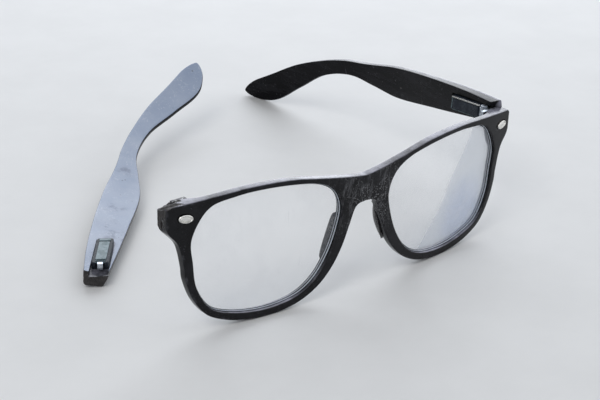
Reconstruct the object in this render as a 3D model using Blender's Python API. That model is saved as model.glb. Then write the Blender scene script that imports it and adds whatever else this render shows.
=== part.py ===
"""Broken eyeglasses: a moulded front with one arm still on its sprung hinge.
The other arm has snapped off at its hinge and lies on the ground beside the front.

X runs along the front, +X to the wearer's left, where the arm is still on. Y runs back
towards the wearer's ears and +Z is up. Everything stands on z = 0, with the origin under
the middle of the whole group. Sizes are in millimetres until a mesh is made.
"""
from math import atan2, cos, pi, radians, sin, sqrt, tan

import bmesh
import bpy
from mathutils import Matrix, Vector
from mathutils.geometry import tessellate_polygon

MM = 0.001

# Front
FRONT_RADIUS = 354.0        # the front bows back from the bridge along this radius
RIM_DEPTH = 3.2             # front to back
ENDPIECE_DEPTH = 5.4
END_FLAT = 5.9              # the whole endpiece's back is flat this far in from its end
FRONT_LEAN = 1.25           # degrees, the top leans back as the pair stands
EDGE_ROUND = 0.4
BACK_ROUND = 0.8

# Lens openings
LENS_WIDTH = 54.5
LENS_HEIGHT = 41.0
LENS_GAP = 20.2             # between the two openings
END_BEYOND_LENS = 8.3       # the front reaches this far past each opening
RIM_BOTTOM = 2.6
RIM_TEMPLE = 2.9
RIM_NASAL = 3.7
RIM_BRIDGE = 4.5
BROW = 1.7                  # above the opening's highest point
GROOVE_DEPTH = 0.55
GROOVE_WIDTH = 1.1

# Bridge and endpieces
BRIDGE_BELOW_LENS = 4.1     # its top under the openings' highest points
BRIDGE_HEIGHT = 8.9
END_ABOVE_LENS = 0.1
ENDPIECE_HEIGHT = 9.0

# Lenses
LENS_THICKNESS = 1.4
LENS_BULGE = 1.3
FIT = 0.3                   # clearance between pieces that seat on each other

# Nose pads, moulded with the front
PAD_HEIGHT = 15.0
PAD_REACH = 3.6             # how far they stand back from the rim
PAD_ROOT = 1.2              # and how far they run into it
PAD_THICKNESS = 2.2
PAD_FLARE = 3.2             # outwards at the back
PAD_SPREAD = 5.2            # outwards from the upper end to the lower one
PAD_BELOW_BRIDGE = 3.4

# Corner plaques
PLAQUE_LENGTH = 4.7
PLAQUE_WIDTH = 2.7
PLAQUE_THICKNESS = 1.0
PLAQUE_SINK = 0.45
PLAQUE_FROM_END = 5.4
PLAQUE_BELOW_TOP = 4.2
PLAQUE_SLANT = 8.0          # degrees

# Arms
ARM_LENGTH = 143.0
ARM_BUTT = 7.8              # height of the end at the hinge
ARM_BELLY = 12.8
ARM_NECK = 6.3
ARM_PADDLE = 12.0
ARM_DROP = 43.0             # how far the tip hangs below the hinge
ARM_THICK_BUTT = 5.0
ARM_THICK = 3.3
ARM_THICK_TIP = 2.5
TIP_ROUND = 7.0             # the tip rounds off over this length
ARM_LOWER_EDGE = 1.3        # the outer face slopes up to this edge
ARM_EDGE = 1.6              # inner face above the outer datum, at the butt's lower edge
ARM_CANT = 11.9             # degrees, the upper edge leans in
BOW = 20.2                  # the tip bends in by this much
BOW_START = 45.0
BOW_RUN = 100.0             # and reaches the bend this far behind its start
ARM_INSET = 1.9             # outer datum of the arm, in from the end of the front
ARM_BELOW_TOP = 1.4         # its middle under the endpiece's top
ARM_CLEAR = 0.5             # its butt behind the endpiece's flat back
ARM_SPLAY = 6.6             # degrees, the arm stands out past square
SPLAY_IN = 5.0              # it is turned about this place in from its outer datum
SPLAY_BACK = 3.0            # and this far behind its butt
ARM_RISE = 2.5              # degrees

# Hinges
PIN_BACK = 1.95             # pin centre, back from the arm's butt
PIN_IN = 3.9                # and in from the arm's outer datum
KNUCKLE_R = 1.45
KNUCKLE_BORE_R = 0.72
SCREW_R = 0.6
SCREW_HEAD_R = 1.2
SCREW_HEAD = 0.5
SCREW_SLOT = 0.3
KNUCKLE_END = 1.4
KNUCKLE_MIDDLE = 2.2
KNUCKLE_GAP = 0.3
HINGE_BELOW_ARM = 1.5       # hinge centre under the arm's datum line
LEAF_WIDTH = 5.2
LEAF_THICKNESS = 0.9
WEB_HALF = 1.1
HOUSING_START = 4.6
HOUSING_LENGTH = 16.0
HOUSING_WIDTH = 5.6
HOUSING_SINK = 0.9
HOUSING_PROUD = 1.5
HOUSING_SLOPE = 8.0         # degrees, it follows the middle of the arm downhill
HOUSING_WALL = 0.5
WINDOW_HALF = 0.8
TROUGH_EXTRA = 1.2          # the trough is this much longer than its case
SLIDE_THICKNESS = 0.6
SLIDE_TRAVEL = 2.0
STOP_LENGTH = 0.8
STOP_HALF = 1.0
SPRING_R = 0.62
SPRING_WIRE_R = 0.13
SPRING_TURNS = 6

# The snapped arm as it lies
LOOSE_BUTT = (-71.8, 48.0)
LOOSE_HEADING = 32.06       # degrees from straight back, towards +X
LOOSE_PITCH = 3.42          # degrees, its tip is propped up by its own bend

# The torn endpiece
TEAR_DROP = 2.9             # the slope falls by this much from front to back
TEAR_RUN = 9.5              # and runs out this far from the end
TEAR_UNEVEN = 0.3

LENS_U = LENS_GAP / 2 + LENS_WIDTH / 2
LENS_W = RIM_BOTTOM + LENS_HEIGHT / 2
LENS_TOP = RIM_BOTTOM + LENS_HEIGHT
HALF = LENS_GAP / 2 + LENS_WIDTH + END_BEYOND_LENS
BRIDGE_TOP = LENS_TOP - BRIDGE_BELOW_LENS
BRIDGE_UNDERSIDE = BRIDGE_TOP - BRIDGE_HEIGHT
ENDPIECE_TOP = LENS_TOP + END_ABOVE_LENS
ENDPIECE_BACK_U = HALF - END_FLAT
ENDPIECE_BACK = ENDPIECE_BACK_U ** 2 / (2 * FRONT_RADIUS) + ENDPIECE_DEPTH
ARM_OUTER = HALF - ARM_INSET
ARM_HEIGHT = ENDPIECE_TOP - ARM_BELOW_TOP
ARM_START = ENDPIECE_BACK + ARM_CLEAR
SPLAY_U = ARM_OUTER - SPLAY_IN
MID_DEPTH = RIM_DEPTH / 2
BOX_FACES = ((0, 1, 2, 3), (4, 5, 6, 7), (0, 1, 5, 4), (1, 2, 6, 5), (2, 3, 7, 6), (3, 0, 4, 7))


def material(name, colour, roughness, metallic=0.0, alpha=1.0):
    """A plain surface with this colour, roughness and metal share."""
    made = bpy.data.materials.new(name)
    made.use_nodes = True
    shader = made.node_tree.nodes["Principled BSDF"]
    shader.inputs["Base Color"].default_value = (*colour, 1.0)
    shader.inputs["Roughness"].default_value = roughness
    shader.inputs["Metallic"].default_value = metallic
    shader.inputs["Alpha"].default_value = alpha
    return made


def new_object(name, points, faces, surface, place=None):
    """A closed mesh from points in millimetres, with its faces turned out."""
    mesh = bpy.data.meshes.new(name)
    if place is not None:
        points = [place(p) for p in points]
    mesh.from_pydata([Vector(p) * MM for p in points], [], faces)
    work = bmesh.new()
    work.from_mesh(mesh)
    bmesh.ops.triangulate(work, faces=work.faces)
    bmesh.ops.recalc_face_normals(work, faces=work.faces)
    work.to_mesh(mesh)
    work.free()
    made = bpy.data.objects.new(name, mesh)
    bpy.context.collection.objects.link(made)
    if surface is not None:
        mesh.materials.append(surface)
    mesh.shade_smooth()
    mesh.set_sharp_from_angle(angle=radians(35))
    return made


def through(points, count, closed=False):
    """Points evenly spaced along a smooth curve that passes through the given ones."""
    pts = [Vector(p) for p in points]
    n = len(pts)
    spans = n if closed else n - 1
    fine = []
    for i in range(spans):
        b = pts[i]
        c = pts[(i + 1) % n]
        a = pts[(i - 1) % n] if closed or i > 0 else b * 2 - c
        d = pts[(i + 2) % n] if closed or i + 2 < n else c * 2 - b
        for k in range(24):
            t = k / 24
            fine.append(0.5 * (2 * b + (c - a) * t + (2 * a - 5 * b + 4 * c - d) * t * t
                               + (3 * b - a - 3 * c + d) * t ** 3))
    fine.append(pts[0] if closed else pts[-1])
    run = [0.0]
    for p, q in zip(fine, fine[1:]):
        run.append(run[-1] + (q - p).length)
    steps = count if closed else count - 1
    out = []
    j = 0
    for k in range(count):
        goal = run[-1] * k / steps
        while j < len(fine) - 2 and run[j + 1] < goal:
            j += 1
        share = (goal - run[j]) / max(run[j + 1] - run[j], 1e-9)
        out.append(fine[j].lerp(fine[j + 1], min(share, 1.0)))
    return out


def value_at(x, table):
    """Smooth value at x from a short table of (x, value)."""
    if x <= table[0][0]:
        return table[0][1]
    for (x0, v0), (x1, v1) in zip(table, table[1:]):
        if x <= x1:
            t = (x - x0) / (x1 - x0)
            return v0 + (v1 - v0) * t * t * (3 - 2 * t)
    return table[-1][1]


def outward(loop):
    """Unit directions pointing out of a closed loop that runs anticlockwise."""
    n = len(loop)
    dirs = []
    for i in range(n):
        along = loop[(i + 1) % n] - loop[(i - 1) % n]
        dirs.append(Vector((along.y, -along.x)).normalized())
    return dirs


def lens_loop(count=60):
    """The opening's outline, anticlockwise from its outer side, in its own frame."""
    shares = ((0.985, 0.04), (1.0, 0.46), (0.80, 0.88), (0.46, 0.985), (0.10, 1.0),
              (-0.32, 0.955), (-0.68, 0.86), (-0.90, 0.68), (-1.0, 0.38), (-0.955, 0.02),
              (-0.835, -0.38), (-0.64, -0.73), (-0.37, -0.935), (0.04, -1.0),
              (0.45, -0.93), (0.76, -0.76), (0.935, -0.38))
    pts = [Vector((a * LENS_WIDTH / 2, b * LENS_HEIGHT / 2)) for a, b in shares]
    return through(pts, count, closed=True)


def front_outline():
    """The outer outline of the front, anticlockwise seen from the front, +X side first."""
    lens = lens_loop(120)
    dirs = outward(lens)
    rim = []
    for p, d in zip(lens, dirs):
        angle = atan2(p.y, p.x)
        if angle < 0:
            angle += 2 * pi
        width = value_at(angle, ((0.0, RIM_TEMPLE), (radians(320), RIM_BOTTOM - 0.3)))
        if angle > radians(172):
            width = value_at(angle, ((radians(175), RIM_BRIDGE), (radians(205), RIM_NASAL),
                                     (radians(235), RIM_BOTTOM), (radians(300), RIM_BOTTOM),
                                     (radians(325), RIM_BOTTOM - 0.3),
                                     (radians(360), RIM_TEMPLE)))
            rim.append((angle, Vector((LENS_U, LENS_W)) + p + d * width))
    lower = [p for a, p in sorted(rim, key=lambda item: item[0]) if a > radians(176)]
    join = lower[-1]
    end_low = ENDPIECE_TOP - ENDPIECE_HEIGHT
    top_of_lens = RIM_BOTTOM + LENS_HEIGHT + BROW
    under = [Vector((0.0, BRIDGE_UNDERSIDE)),
             Vector((lower[0].x * 0.62, BRIDGE_UNDERSIDE - 1.1)), lower[0]]
    half = through(under, 7)[:-1]
    half += through(lower[::5] + [join], 46)[:-1]
    rise = end_low - join.y
    half += through([join, Vector((join.x + 1.0, join.y + rise * 0.42)),
                     Vector((join.x + 2.3, join.y + rise * 0.74)),
                     Vector((HALF - 1.0, end_low + 0.1)), Vector((HALF - 0.1, end_low + 2.0))],
                    12)[:-1]
    half += [Vector((HALF - 0.1, end_low + 2.0)).lerp(Vector((HALF, ENDPIECE_TOP - 0.8)), k / 4)
             for k in range(5)]
    half += through([Vector((HALF - 0.8, ENDPIECE_TOP + 0.05)),
                     Vector((LENS_U + LENS_WIDTH * 0.36, top_of_lens - 0.65)),
                     Vector((LENS_U + LENS_WIDTH * 0.12, top_of_lens)),
                     Vector((LENS_U - LENS_WIDTH * 0.14, top_of_lens - 0.75)),
                     Vector((LENS_GAP / 2 + LENS_WIDTH * 0.14, top_of_lens - 2.9)),
                     Vector((LENS_GAP / 2 - 3.0, BRIDGE_TOP + 0.95)),
                     Vector((0.0, BRIDGE_TOP))], 34)
    other = [Vector((-p.x, p.y)) for p in reversed(half[1:-1])]
    return half + other


def bend(u):
    """How far the bowed face lies behind the bridge."""
    return u * u / (2 * FRONT_RADIUS)


def depth_at(u, w):
    """Front to back size; only the endpieces are deeper than the rims."""
    end_low = ENDPIECE_TOP - ENDPIECE_HEIGHT
    share = (value_at(abs(u), ((HALF - 13.0, 0.0), (HALF - 5.0, 1.0)))
             * value_at(w, ((end_low - 4.5, 0.0), (end_low + 0.5, 1.0))))
    return RIM_DEPTH + (ENDPIECE_DEPTH - RIM_DEPTH) * share


def from_front(u, y, w):
    """A point of the front: u across, y behind the middle of the bridge, w up."""
    lean = radians(FRONT_LEAN)
    return Vector((u, y * cos(lean) + w * sin(lean), w * cos(lean) - y * sin(lean)))


def on_front(u, back, w):
    """The same with the distance behind the bowed face instead."""
    return from_front(u, bend(u) + back, w)


def bridge_rings(rings):
    """Faces that join closed rings of equal length, one after the other."""
    faces = []
    for a, b in zip(rings, rings[1:]):
        n = len(a)
        faces += [(a[i], a[(i + 1) % n], b[(i + 1) % n], b[i]) for i in range(n)]
    return faces


def closed_rings(rings):
    """The same with both ends closed."""
    return bridge_rings(rings) + [tuple(rings[0]), tuple(rings[-1])]


def front_mesh():
    """Points and faces of the moulded front with its two grooved lens openings."""
    points = []
    faces = []

    def ring(loop, dirs, offset, share, extra):
        first = len(points)
        for p, d in zip(loop, dirs):
            q = p + d * offset
            points.append(on_front(q.x, depth_at(q.x, q.y) * share + extra, q.y))
        return list(range(first, len(points)))

    outline = front_outline()
    out = outward(outline)
    r = EDGE_ROUND
    b = BACK_ROUND
    outer = [ring(outline, out, -r, 0, 0), ring(outline, out, -0.3 * r, 0, 0.3 * r),
             ring(outline, out, 0, 0, r), ring(outline, out, 0, 1, -b),
             ring(outline, out, -0.3 * b, 1, -0.3 * b), ring(outline, out, -b, 1, 0)]
    faces += bridge_rings(outer)
    fronts = [outer[0]]
    backs = [outer[-1]]
    small = 0.35
    for side in (1, -1):
        loop = [Vector((side * (LENS_U + p.x), LENS_W + p.y)) for p in lens_loop()]
        if side < 0:
            loop.reverse()
        dirs = outward(loop)
        g = GROOVE_WIDTH / 2
        rows = [ring(loop, dirs, small, 0, 0), ring(loop, dirs, 0, 0, small),
                ring(loop, dirs, 0, 0, MID_DEPTH - g), ring(loop, dirs, GROOVE_DEPTH, 0, MID_DEPTH),
                ring(loop, dirs, 0, 0, MID_DEPTH + g), ring(loop, dirs, 0, 1, -small),
                ring(loop, dirs, small, 1, 0)]
        faces += bridge_rings(rows)
        fronts.append(rows[0])
        backs.append(rows[-1])
    for loops in (fronts, backs):
        flat = [[Vector((points[i].x, points[i].z, 0.0)) for i in loop] for loop in loops]
        order = [i for loop in loops for i in loop]
        faces += [tuple(order[i] for i in tri) for tri in tessellate_polygon(flat)]
    return points, faces


def lens_mesh(side):
    """A thin bulged lens with a ridge that sits in the rim's groove."""
    loop = [Vector((side * p.x, p.y)) for p in lens_loop()]
    n = len(loop)
    points = []
    faces = []
    edge = -FIT
    ridge = GROOVE_DEPTH - FIT
    grow = outward(loop if side > 0 else loop[::-1])
    if side < 0:
        grow.reverse()

    def ring(share, offset, back):
        first = len(points)
        for p, d in zip(loop, grow):
            q = p * share + d * offset
            points.append(on_front(side * LENS_U + q.x, MID_DEPTH + back, LENS_W + q.y))
        return list(range(first, first + n))

    shares = (0.25, 0.5, 0.75, 1.0)
    t = LENS_THICKNESS / 2
    front = [ring(s, edge * s, -t - LENS_BULGE * (1 - s * s)) for s in shares]
    middle = [ring(1.0, ridge, 0.0)]
    back = [ring(s, edge * s, t - LENS_BULGE * (1 - s * s)) for s in reversed(shares)]
    rings = front + middle + back
    faces += bridge_rings(rings)
    for end, shift in ((rings[0], -t), (rings[-1], t)):
        points.append(on_front(side * LENS_U, MID_DEPTH + shift - LENS_BULGE, LENS_W))
        hub = len(points) - 1
        faces += [(end[i], end[(i + 1) % n], hub) for i in range(n)]
    return points, faces


def arm_edges(s):
    """Upper and lower edge of an arm at the distance s from its butt, from its datum line."""
    g = s / ARM_LENGTH
    middle = -ARM_DROP * value_curve(g, ((0.0, 0.0), (0.10, 0.053), (0.25, 0.144), (0.40, 0.242),
                                         (0.50, 0.288), (0.60, 0.330), (0.70, 0.447),
                                         (0.80, 0.642), (0.90, 0.865), (1.0, 1.0)))
    width = value_curve(g, ((0.0, ARM_BUTT), (0.10, 0.8 * ARM_BELLY), (0.25, 0.96 * ARM_BELLY),
                            (0.40, ARM_BELLY), (0.50, 0.7 * ARM_BELLY), (0.575, ARM_NECK),
                            (0.70, 1.05 * ARM_NECK), (0.80, 0.87 * ARM_PADDLE),
                            (0.90, ARM_PADDLE), (1.0, 0.5 * ARM_PADDLE)))
    return middle + width / 2, middle - width / 2


def value_curve(x, table):
    """Smooth curve through a short table of (x, value), with matching slopes."""
    n = len(table)
    for i in range(n - 1):
        x0, v0 = table[i]
        x1, v1 = table[i + 1]
        if x <= x1 or i == n - 2:
            before = table[max(i - 1, 0)]
            after = table[min(i + 2, n - 1)]
            h = x1 - x0
            t = (x - x0) / h
            m0 = (v1 - before[1]) / (x1 - before[0]) * h
            m1 = (after[1] - v0) / (after[0] - x0) * h
            return ((2 * t ** 3 - 3 * t ** 2 + 1) * v0 + (t ** 3 - 2 * t ** 2 + t) * m0
                    + (3 * t ** 2 - 2 * t ** 3) * v1 + (t ** 3 - t ** 2) * m1)
    return table[-1][1]


def bow_at(s):
    """How far the arm has bent in at this distance from its butt."""
    return BOW * (max(s - BOW_START, 0.0) / BOW_RUN) ** 2


def inner_face(s, t):
    """Height of an arm's inner face above its outer datum."""
    return ARM_EDGE + (t + ARM_BUTT / 2) * tan(radians(ARM_CANT)) + bow_at(s)


def arm_mesh():
    """An arm in its own frame: s along it, t up across it, n in towards the wearer."""
    stations = 44
    points = []
    rings = []
    for k in range(stations + 1):
        g = k / stations
        s = ARM_LENGTH * (1 - (1 - g) ** 1.15)
        high, low = arm_edges(s)
        if s > ARM_LENGTH - TIP_ROUND:
            close = sqrt(max(1 - ((s - ARM_LENGTH + TIP_ROUND) / TIP_ROUND) ** 2, 0.02))
            mid = (high + low) / 2
            high = mid + (high - mid) * close
            low = mid + (low - mid) * close
        thick = value_curve(s / ARM_LENGTH, ((0.0, ARM_THICK_BUTT), (0.3, ARM_THICK),
                                             (0.7, ARM_THICK), (1.0, ARM_THICK_TIP)))
        r = min(0.5, (high - low) * 0.2)
        slope = min(1.8, (high - low) * 0.3)
        across = ((high, -r), (high - r, 0.0), (low + r, 0.0), (low, -r), (low, -ARM_LOWER_EDGE),
                  (low + slope, -thick), (high - 2 * r, -thick), (high, -thick + 2 * r))
        first = len(points)
        points += [Vector((s, t, inner_face(s, t) + depth)) for t, depth in across]
        rings.append(list(range(first, first + len(across))))
    return points, closed_rings(rings)


def attached(p):
    """From an arm's own frame to the arm that is still on the front."""
    s, t, n = p
    rise = radians(-ARM_RISE)
    u = ARM_OUTER - n
    y = ARM_START + s * cos(rise) + t * sin(rise)
    w = ARM_HEIGHT + t * cos(rise) - s * sin(rise)
    a = radians(-ARM_SPLAY)
    du = u - SPLAY_U
    dy = y - ARM_START - SPLAY_BACK
    return from_front(SPLAY_U + du * cos(a) - dy * sin(a),
                      ARM_START + SPLAY_BACK + du * sin(a) + dy * cos(a), w)


def attached_flat(p):
    """As attached, before the front's lean: across, back and up."""
    q = attached(p)
    lean = radians(FRONT_LEAN)
    return Vector((q.x, q.y * cos(lean) - q.z * sin(lean), q.y * sin(lean) + q.z * cos(lean)))


def loose(p):
    """From an arm's own frame to the snapped arm on the ground, its inner face up."""
    s, t, n = p
    h = radians(LOOSE_HEADING)
    z = n + s * sin(radians(LOOSE_PITCH))
    return Vector((LOOSE_BUTT[0] + s * sin(h) - t * cos(h), LOOSE_BUTT[1] + s * cos(h) + t * sin(h), z))


def box_points(s0, s1, t0, t1, n0, n1, slope=0.0):
    """A box in an arm's frame; slope tips it downhill along the arm about its front end."""
    k = -tan(radians(slope))
    pts = []
    for s in (s0, s1):
        for t, n in ((t0, n0), (t1, n0), (t1, n1), (t0, n1)):
            pts.append(Vector((s, t + k * (s - HOUSING_START), n)))
    return pts, BOX_FACES


def cut(target, cutter, kind="DIFFERENCE"):
    """Cut one object by another, or join it, and drop the tool."""
    change = target.modifiers.new("cut", "BOOLEAN")
    change.operation = kind
    change.solver = "EXACT"
    change.object = cutter
    bpy.context.view_layer.update()
    shape = target.evaluated_get(bpy.context.evaluated_depsgraph_get())
    mesh = bpy.data.meshes.new_from_object(shape)
    target.modifiers.clear()
    old = target.data
    target.data = mesh
    bpy.data.meshes.remove(old)
    bpy.data.objects.remove(cutter)
    target.data.shade_smooth()
    target.data.set_sharp_from_angle(angle=radians(35))
    return target


def tube(centre, axis_of, low, high, radius, sides=24):
    """Points and faces of a round bar; axis_of turns (x, y, height) into a place."""
    points = []
    for w in (low, high):
        points += [axis_of(centre[0] + radius * cos(2 * pi * i / sides),
                           centre[1] + radius * sin(2 * pi * i / sides), w) for i in range(sides)]
    return points, closed_rings([list(range(sides)), list(range(sides, 2 * sides))])


# Hinge places that follow from the sizes above, in the front's own directions
PIN = attached_flat((PIN_BACK, -HINGE_BELOW_ARM, PIN_IN))
HINGE_LOW = PIN.z - KNUCKLE_MIDDLE / 2 - KNUCKLE_GAP - KNUCKLE_END
HINGE_HIGH = PIN.z + KNUCKLE_MIDDLE / 2 + KNUCKLE_GAP + KNUCKLE_END

# Spring case places in an arm's own directions
CASE_MID = -HINGE_BELOW_ARM
CASE_LOW = inner_face(HOUSING_START, CASE_MID) - HOUSING_SINK
CASE_HIGH = inner_face(HOUSING_START, CASE_MID) + HOUSING_PROUD
CASE_CENTRE = (CASE_LOW + CASE_HIGH) / 2
CASE_ROOM = (HOUSING_WIDTH / 2 - HOUSING_WALL) * 0.62
HOUSING_END = HOUSING_START + HOUSING_LENGTH
SLIDE_END = HOUSING_END - HOUSING_WALL - FIT - SLIDE_TRAVEL


def clear_scene():
    for old in list(bpy.data.objects):
        bpy.data.objects.remove(old)


def add_nose_pad(front, side):
    """A pad moulded on the rim beside the nose, flared out towards its back."""
    points = []
    rings = []
    for k in range(9):
        share = k / 8
        swell = sqrt(max(1 - (2 * share - 1) ** 2, 0.04))
        w = BRIDGE_UNDERSIDE - PAD_BELOW_BRIDGE - PAD_HEIGHT * share
        near = LENS_GAP / 2 - RIM_NASAL - 0.2 + PAD_SPREAD * share * share
        first = len(points)
        for j in range(12):
            a = 2 * pi * j / 12
            flare = PAD_FLARE * (0.5 + 0.5 * sin(a))
            back = RIM_DEPTH - PAD_ROOT + (PAD_REACH + PAD_ROOT) * 0.5 * (1 + sin(a) * swell)
            points.append(on_front(side * (near + flare + PAD_THICKNESS * 0.5 * swell * cos(a)), back, w))
        rings.append(list(range(first, first + 12)))
    cut(front, new_object("pad", points, closed_rings(rings), None), "UNION")


def plaque_mesh(side, grow, sink, top):
    """An eye-shaped plaque, or with grow the seat that is cut for it."""
    points = []
    rings = []
    slant = radians(PLAQUE_SLANT) * side
    levels = ((1.0, sink), (1.0, -top * 0.5), (0.72, -top), (0.5, -top))
    if grow:
        levels = ((1.0, sink), (1.0, -top))
    for share, back in levels:
        first = len(points)
        for j in range(20):
            a = 2 * pi * j / 20
            x = (PLAQUE_LENGTH / 2 + grow) * share * abs(cos(a)) ** 0.9 * (1 if cos(a) > 0 else -1)
            z = (PLAQUE_WIDTH / 2 + grow) * share * abs(sin(a)) ** 1.1 * (1 if sin(a) > 0 else -1)
            points.append(on_front(side * (HALF - PLAQUE_FROM_END) + x * cos(slant) - z * sin(slant),
                                   back, ENDPIECE_TOP - PLAQUE_BELOW_TOP + x * sin(slant) + z * cos(slant)))
        rings.append(list(range(first, first + 20)))
    return points, closed_rings(rings)


def add_plaque(front, side, name):
    """A plaque on the corner of the front, in its own shallow seat."""
    cut(front, new_object("seat", *plaque_mesh(side, FIT, PLAQUE_SINK + FIT, 1.0), None))
    new_object(name, *plaque_mesh(side, 0.0, PLAQUE_SINK, PLAQUE_THICKNESS - PLAQUE_SINK), SILVER)


def add_front_leaf(front, name, side, knuckles):
    """A leaf let into the back of an endpiece, with a knuckle at each given height."""
    face = bend(PIN.x) + ENDPIECE_DEPTH
    back = face + LEAF_THICKNESS * 0.5
    into = face - LEAF_THICKNESS * 0.9
    u0 = PIN.x - LEAF_WIDTH + KNUCKLE_R
    u1 = PIN.x + KNUCKLE_R

    def block(ua, ub, ya, yb, wa, wb):
        points = [from_front(side * u, y, w) for w in (wa, wb)
                  for u, y in ((ua, ya), (ub, ya), (ub, yb), (ua, yb))]
        return points, BOX_FACES

    cut(front, new_object("leaf seat", *block(u0 - FIT, u1 + FIT, into - FIT, back + 3.0,
                                              HINGE_LOW - FIT, HINGE_HIGH + FIT), None))
    leaf = new_object(name, *block(u0, u1, into, back, HINGE_LOW, HINGE_HIGH), STEEL)
    for low, high in knuckles:
        cut(leaf, new_object("web", *block(PIN.x - WEB_HALF, PIN.x + WEB_HALF, back - 0.3, PIN.y,
                                           low + 0.04, high - 0.04), None), "UNION")
        cut(leaf, new_object("knuckle", *tube((PIN.x * side, PIN.y), from_front, low, high,
                                              KNUCKLE_R), None), "UNION")
    cut(leaf, new_object("bore", *tube((PIN.x * side, PIN.y), from_front, HINGE_LOW - 2,
                                       HINGE_HIGH + 2, KNUCKLE_BORE_R), None))


def add_screw():
    """The hinge screw, its slotted head above the upper knuckle."""
    seat = HINGE_HIGH + FIT / 2
    screw = new_object("hinge_screw_left", *tube((PIN.x, PIN.y), from_front, HINGE_LOW - 0.2,
                                                 seat + SCREW_HEAD * 0.3, SCREW_R), STEEL)
    cut(screw, new_object("head", *tube((PIN.x, PIN.y), from_front, seat, seat + SCREW_HEAD,
                                        SCREW_HEAD_R), None), "UNION")
    half = SCREW_SLOT / 2
    slot = [from_front(PIN.x + a, PIN.y + b, w) for w in (seat + SCREW_HEAD / 2, seat + 3.0)
            for a, b in ((-half, -2.0), (half, -2.0), (half, 2.0), (-half, 2.0))]
    cut(screw, new_object("slot", slot, BOX_FACES, None))


def square_endpiece(front):
    """The whole endpiece is flat behind, parallel to the butt of the arm."""
    inner, outer = ENDPIECE_BACK_U - 2 * END_FLAT, HALF + 2.0
    deep = 2 * ENDPIECE_DEPTH
    fall = tan(radians(ARM_SPLAY))
    flat = [(u, ENDPIECE_BACK - (u - ENDPIECE_BACK_U) * fall) for u in (inner, outer)]
    points = [from_front(u, y + more, w)
              for w in (ENDPIECE_TOP - 2 * ENDPIECE_HEIGHT, ENDPIECE_TOP + ENDPIECE_HEIGHT)
              for (u, y), more in ((flat[0], 0), (flat[1], 0), (flat[1], deep), (flat[0], deep))]
    cut(front, new_object("flat", points, BOX_FACES, None))


def tear_endpiece(front):
    """The torn corner: its top has broken away in a rough slope, and its side has a slit."""
    across, deep = 6, 5
    under = []
    for i in range(across):
        for j in range(deep):
            end = 1 - i / (across - 1)
            back = j / (deep - 1)
            uneven = TEAR_UNEVEN * sin(2.3 * i + 4.1 * j) * min(1.0, 2 * end)
            w = ENDPIECE_TOP + 0.9 - end * (0.8 + TEAR_DROP * back) + uneven
            under.append((-HALF - 1.0 + i * TEAR_RUN / (across - 1),
                          bend(HALF) - 2.0 + back * (ENDPIECE_DEPTH + 3.0), w))
    count = across * deep
    points = [from_front(*p) for p in under] + [from_front(u, y, ENDPIECE_TOP + 8.0) for u, y, w in under]
    faces = []
    for i in range(across - 1):
        for j in range(deep - 1):
            a = i * deep + j
            faces += [(a, a + 1, a + deep), (a + 1, a + deep + 1, a + deep)]
            faces += [(a + count, a + deep + count, a + 1 + count),
                      (a + 1 + count, a + deep + count, a + deep + 1 + count)]
    rim = ([i * deep for i in range(across)] + [(across - 1) * deep + j for j in range(1, deep)]
           + [i * deep + deep - 1 for i in range(across - 2, -1, -1)] + list(range(deep - 2, 0, -1)))
    for a, b in zip(rim, rim[1:] + rim[:1]):
        faces += [(a, b, b + count), (a, b + count, a + count)]
    cut(front, new_object("tear", points, faces, None))
    y0 = bend(HALF) + ENDPIECE_DEPTH * 0.45
    low = ENDPIECE_TOP - ENDPIECE_HEIGHT + 1.2
    slit = [from_front(u, y, w) for w in (low, low + 2.8)
            for u, y in ((-HALF - 1.0, y0), (-HALF + 0.9, y0 + 0.2), (-HALF + 0.9, y0 + 0.7),
                         (-HALF - 1.0, y0 + 0.9))]
    cut(front, new_object("slit", slit, BOX_FACES, None))


def arm_box(name, s_range, t_half, n_range, place, surface=None, slope=HOUSING_SLOPE):
    """A box along an arm, centred on the hinge's line."""
    return new_object(name, *box_points(*s_range, CASE_MID - t_half, CASE_MID + t_half,
                                        *n_range, slope), surface, place)


def add_arm(side, place, surface):
    """The moulded arm with the trough for its spring case."""
    arm = new_object("temple_" + side, *arm_mesh(), surface, place)
    cut(arm, arm_box("trough", (-3.0, HOUSING_END + FIT + TROUGH_EXTRA), HOUSING_WIDTH / 2 + FIT,
                     (CASE_LOW - FIT, CASE_HIGH + 6.0), place))


def add_spring_case(side, place):
    """A thin metal case, open at the hinge end, with a long window in its inner face."""
    half = HOUSING_WIDTH / 2
    case = arm_box("spring_case_" + side, (HOUSING_START, HOUSING_END), half, (CASE_LOW, CASE_HIGH),
                   place, CASE)
    cut(case, arm_box("hollow", (HOUSING_START - 2.0, HOUSING_END - HOUSING_WALL), CASE_ROOM,
                      (CASE_LOW + HOUSING_WALL, CASE_HIGH - HOUSING_WALL), place))
    cut(case, arm_box("window", (HOUSING_START + 2.0, HOUSING_END - 1.6), WINDOW_HALF,
                      (CASE_HIGH - 2 * HOUSING_WALL, CASE_HIGH + 1.0), place))


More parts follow.
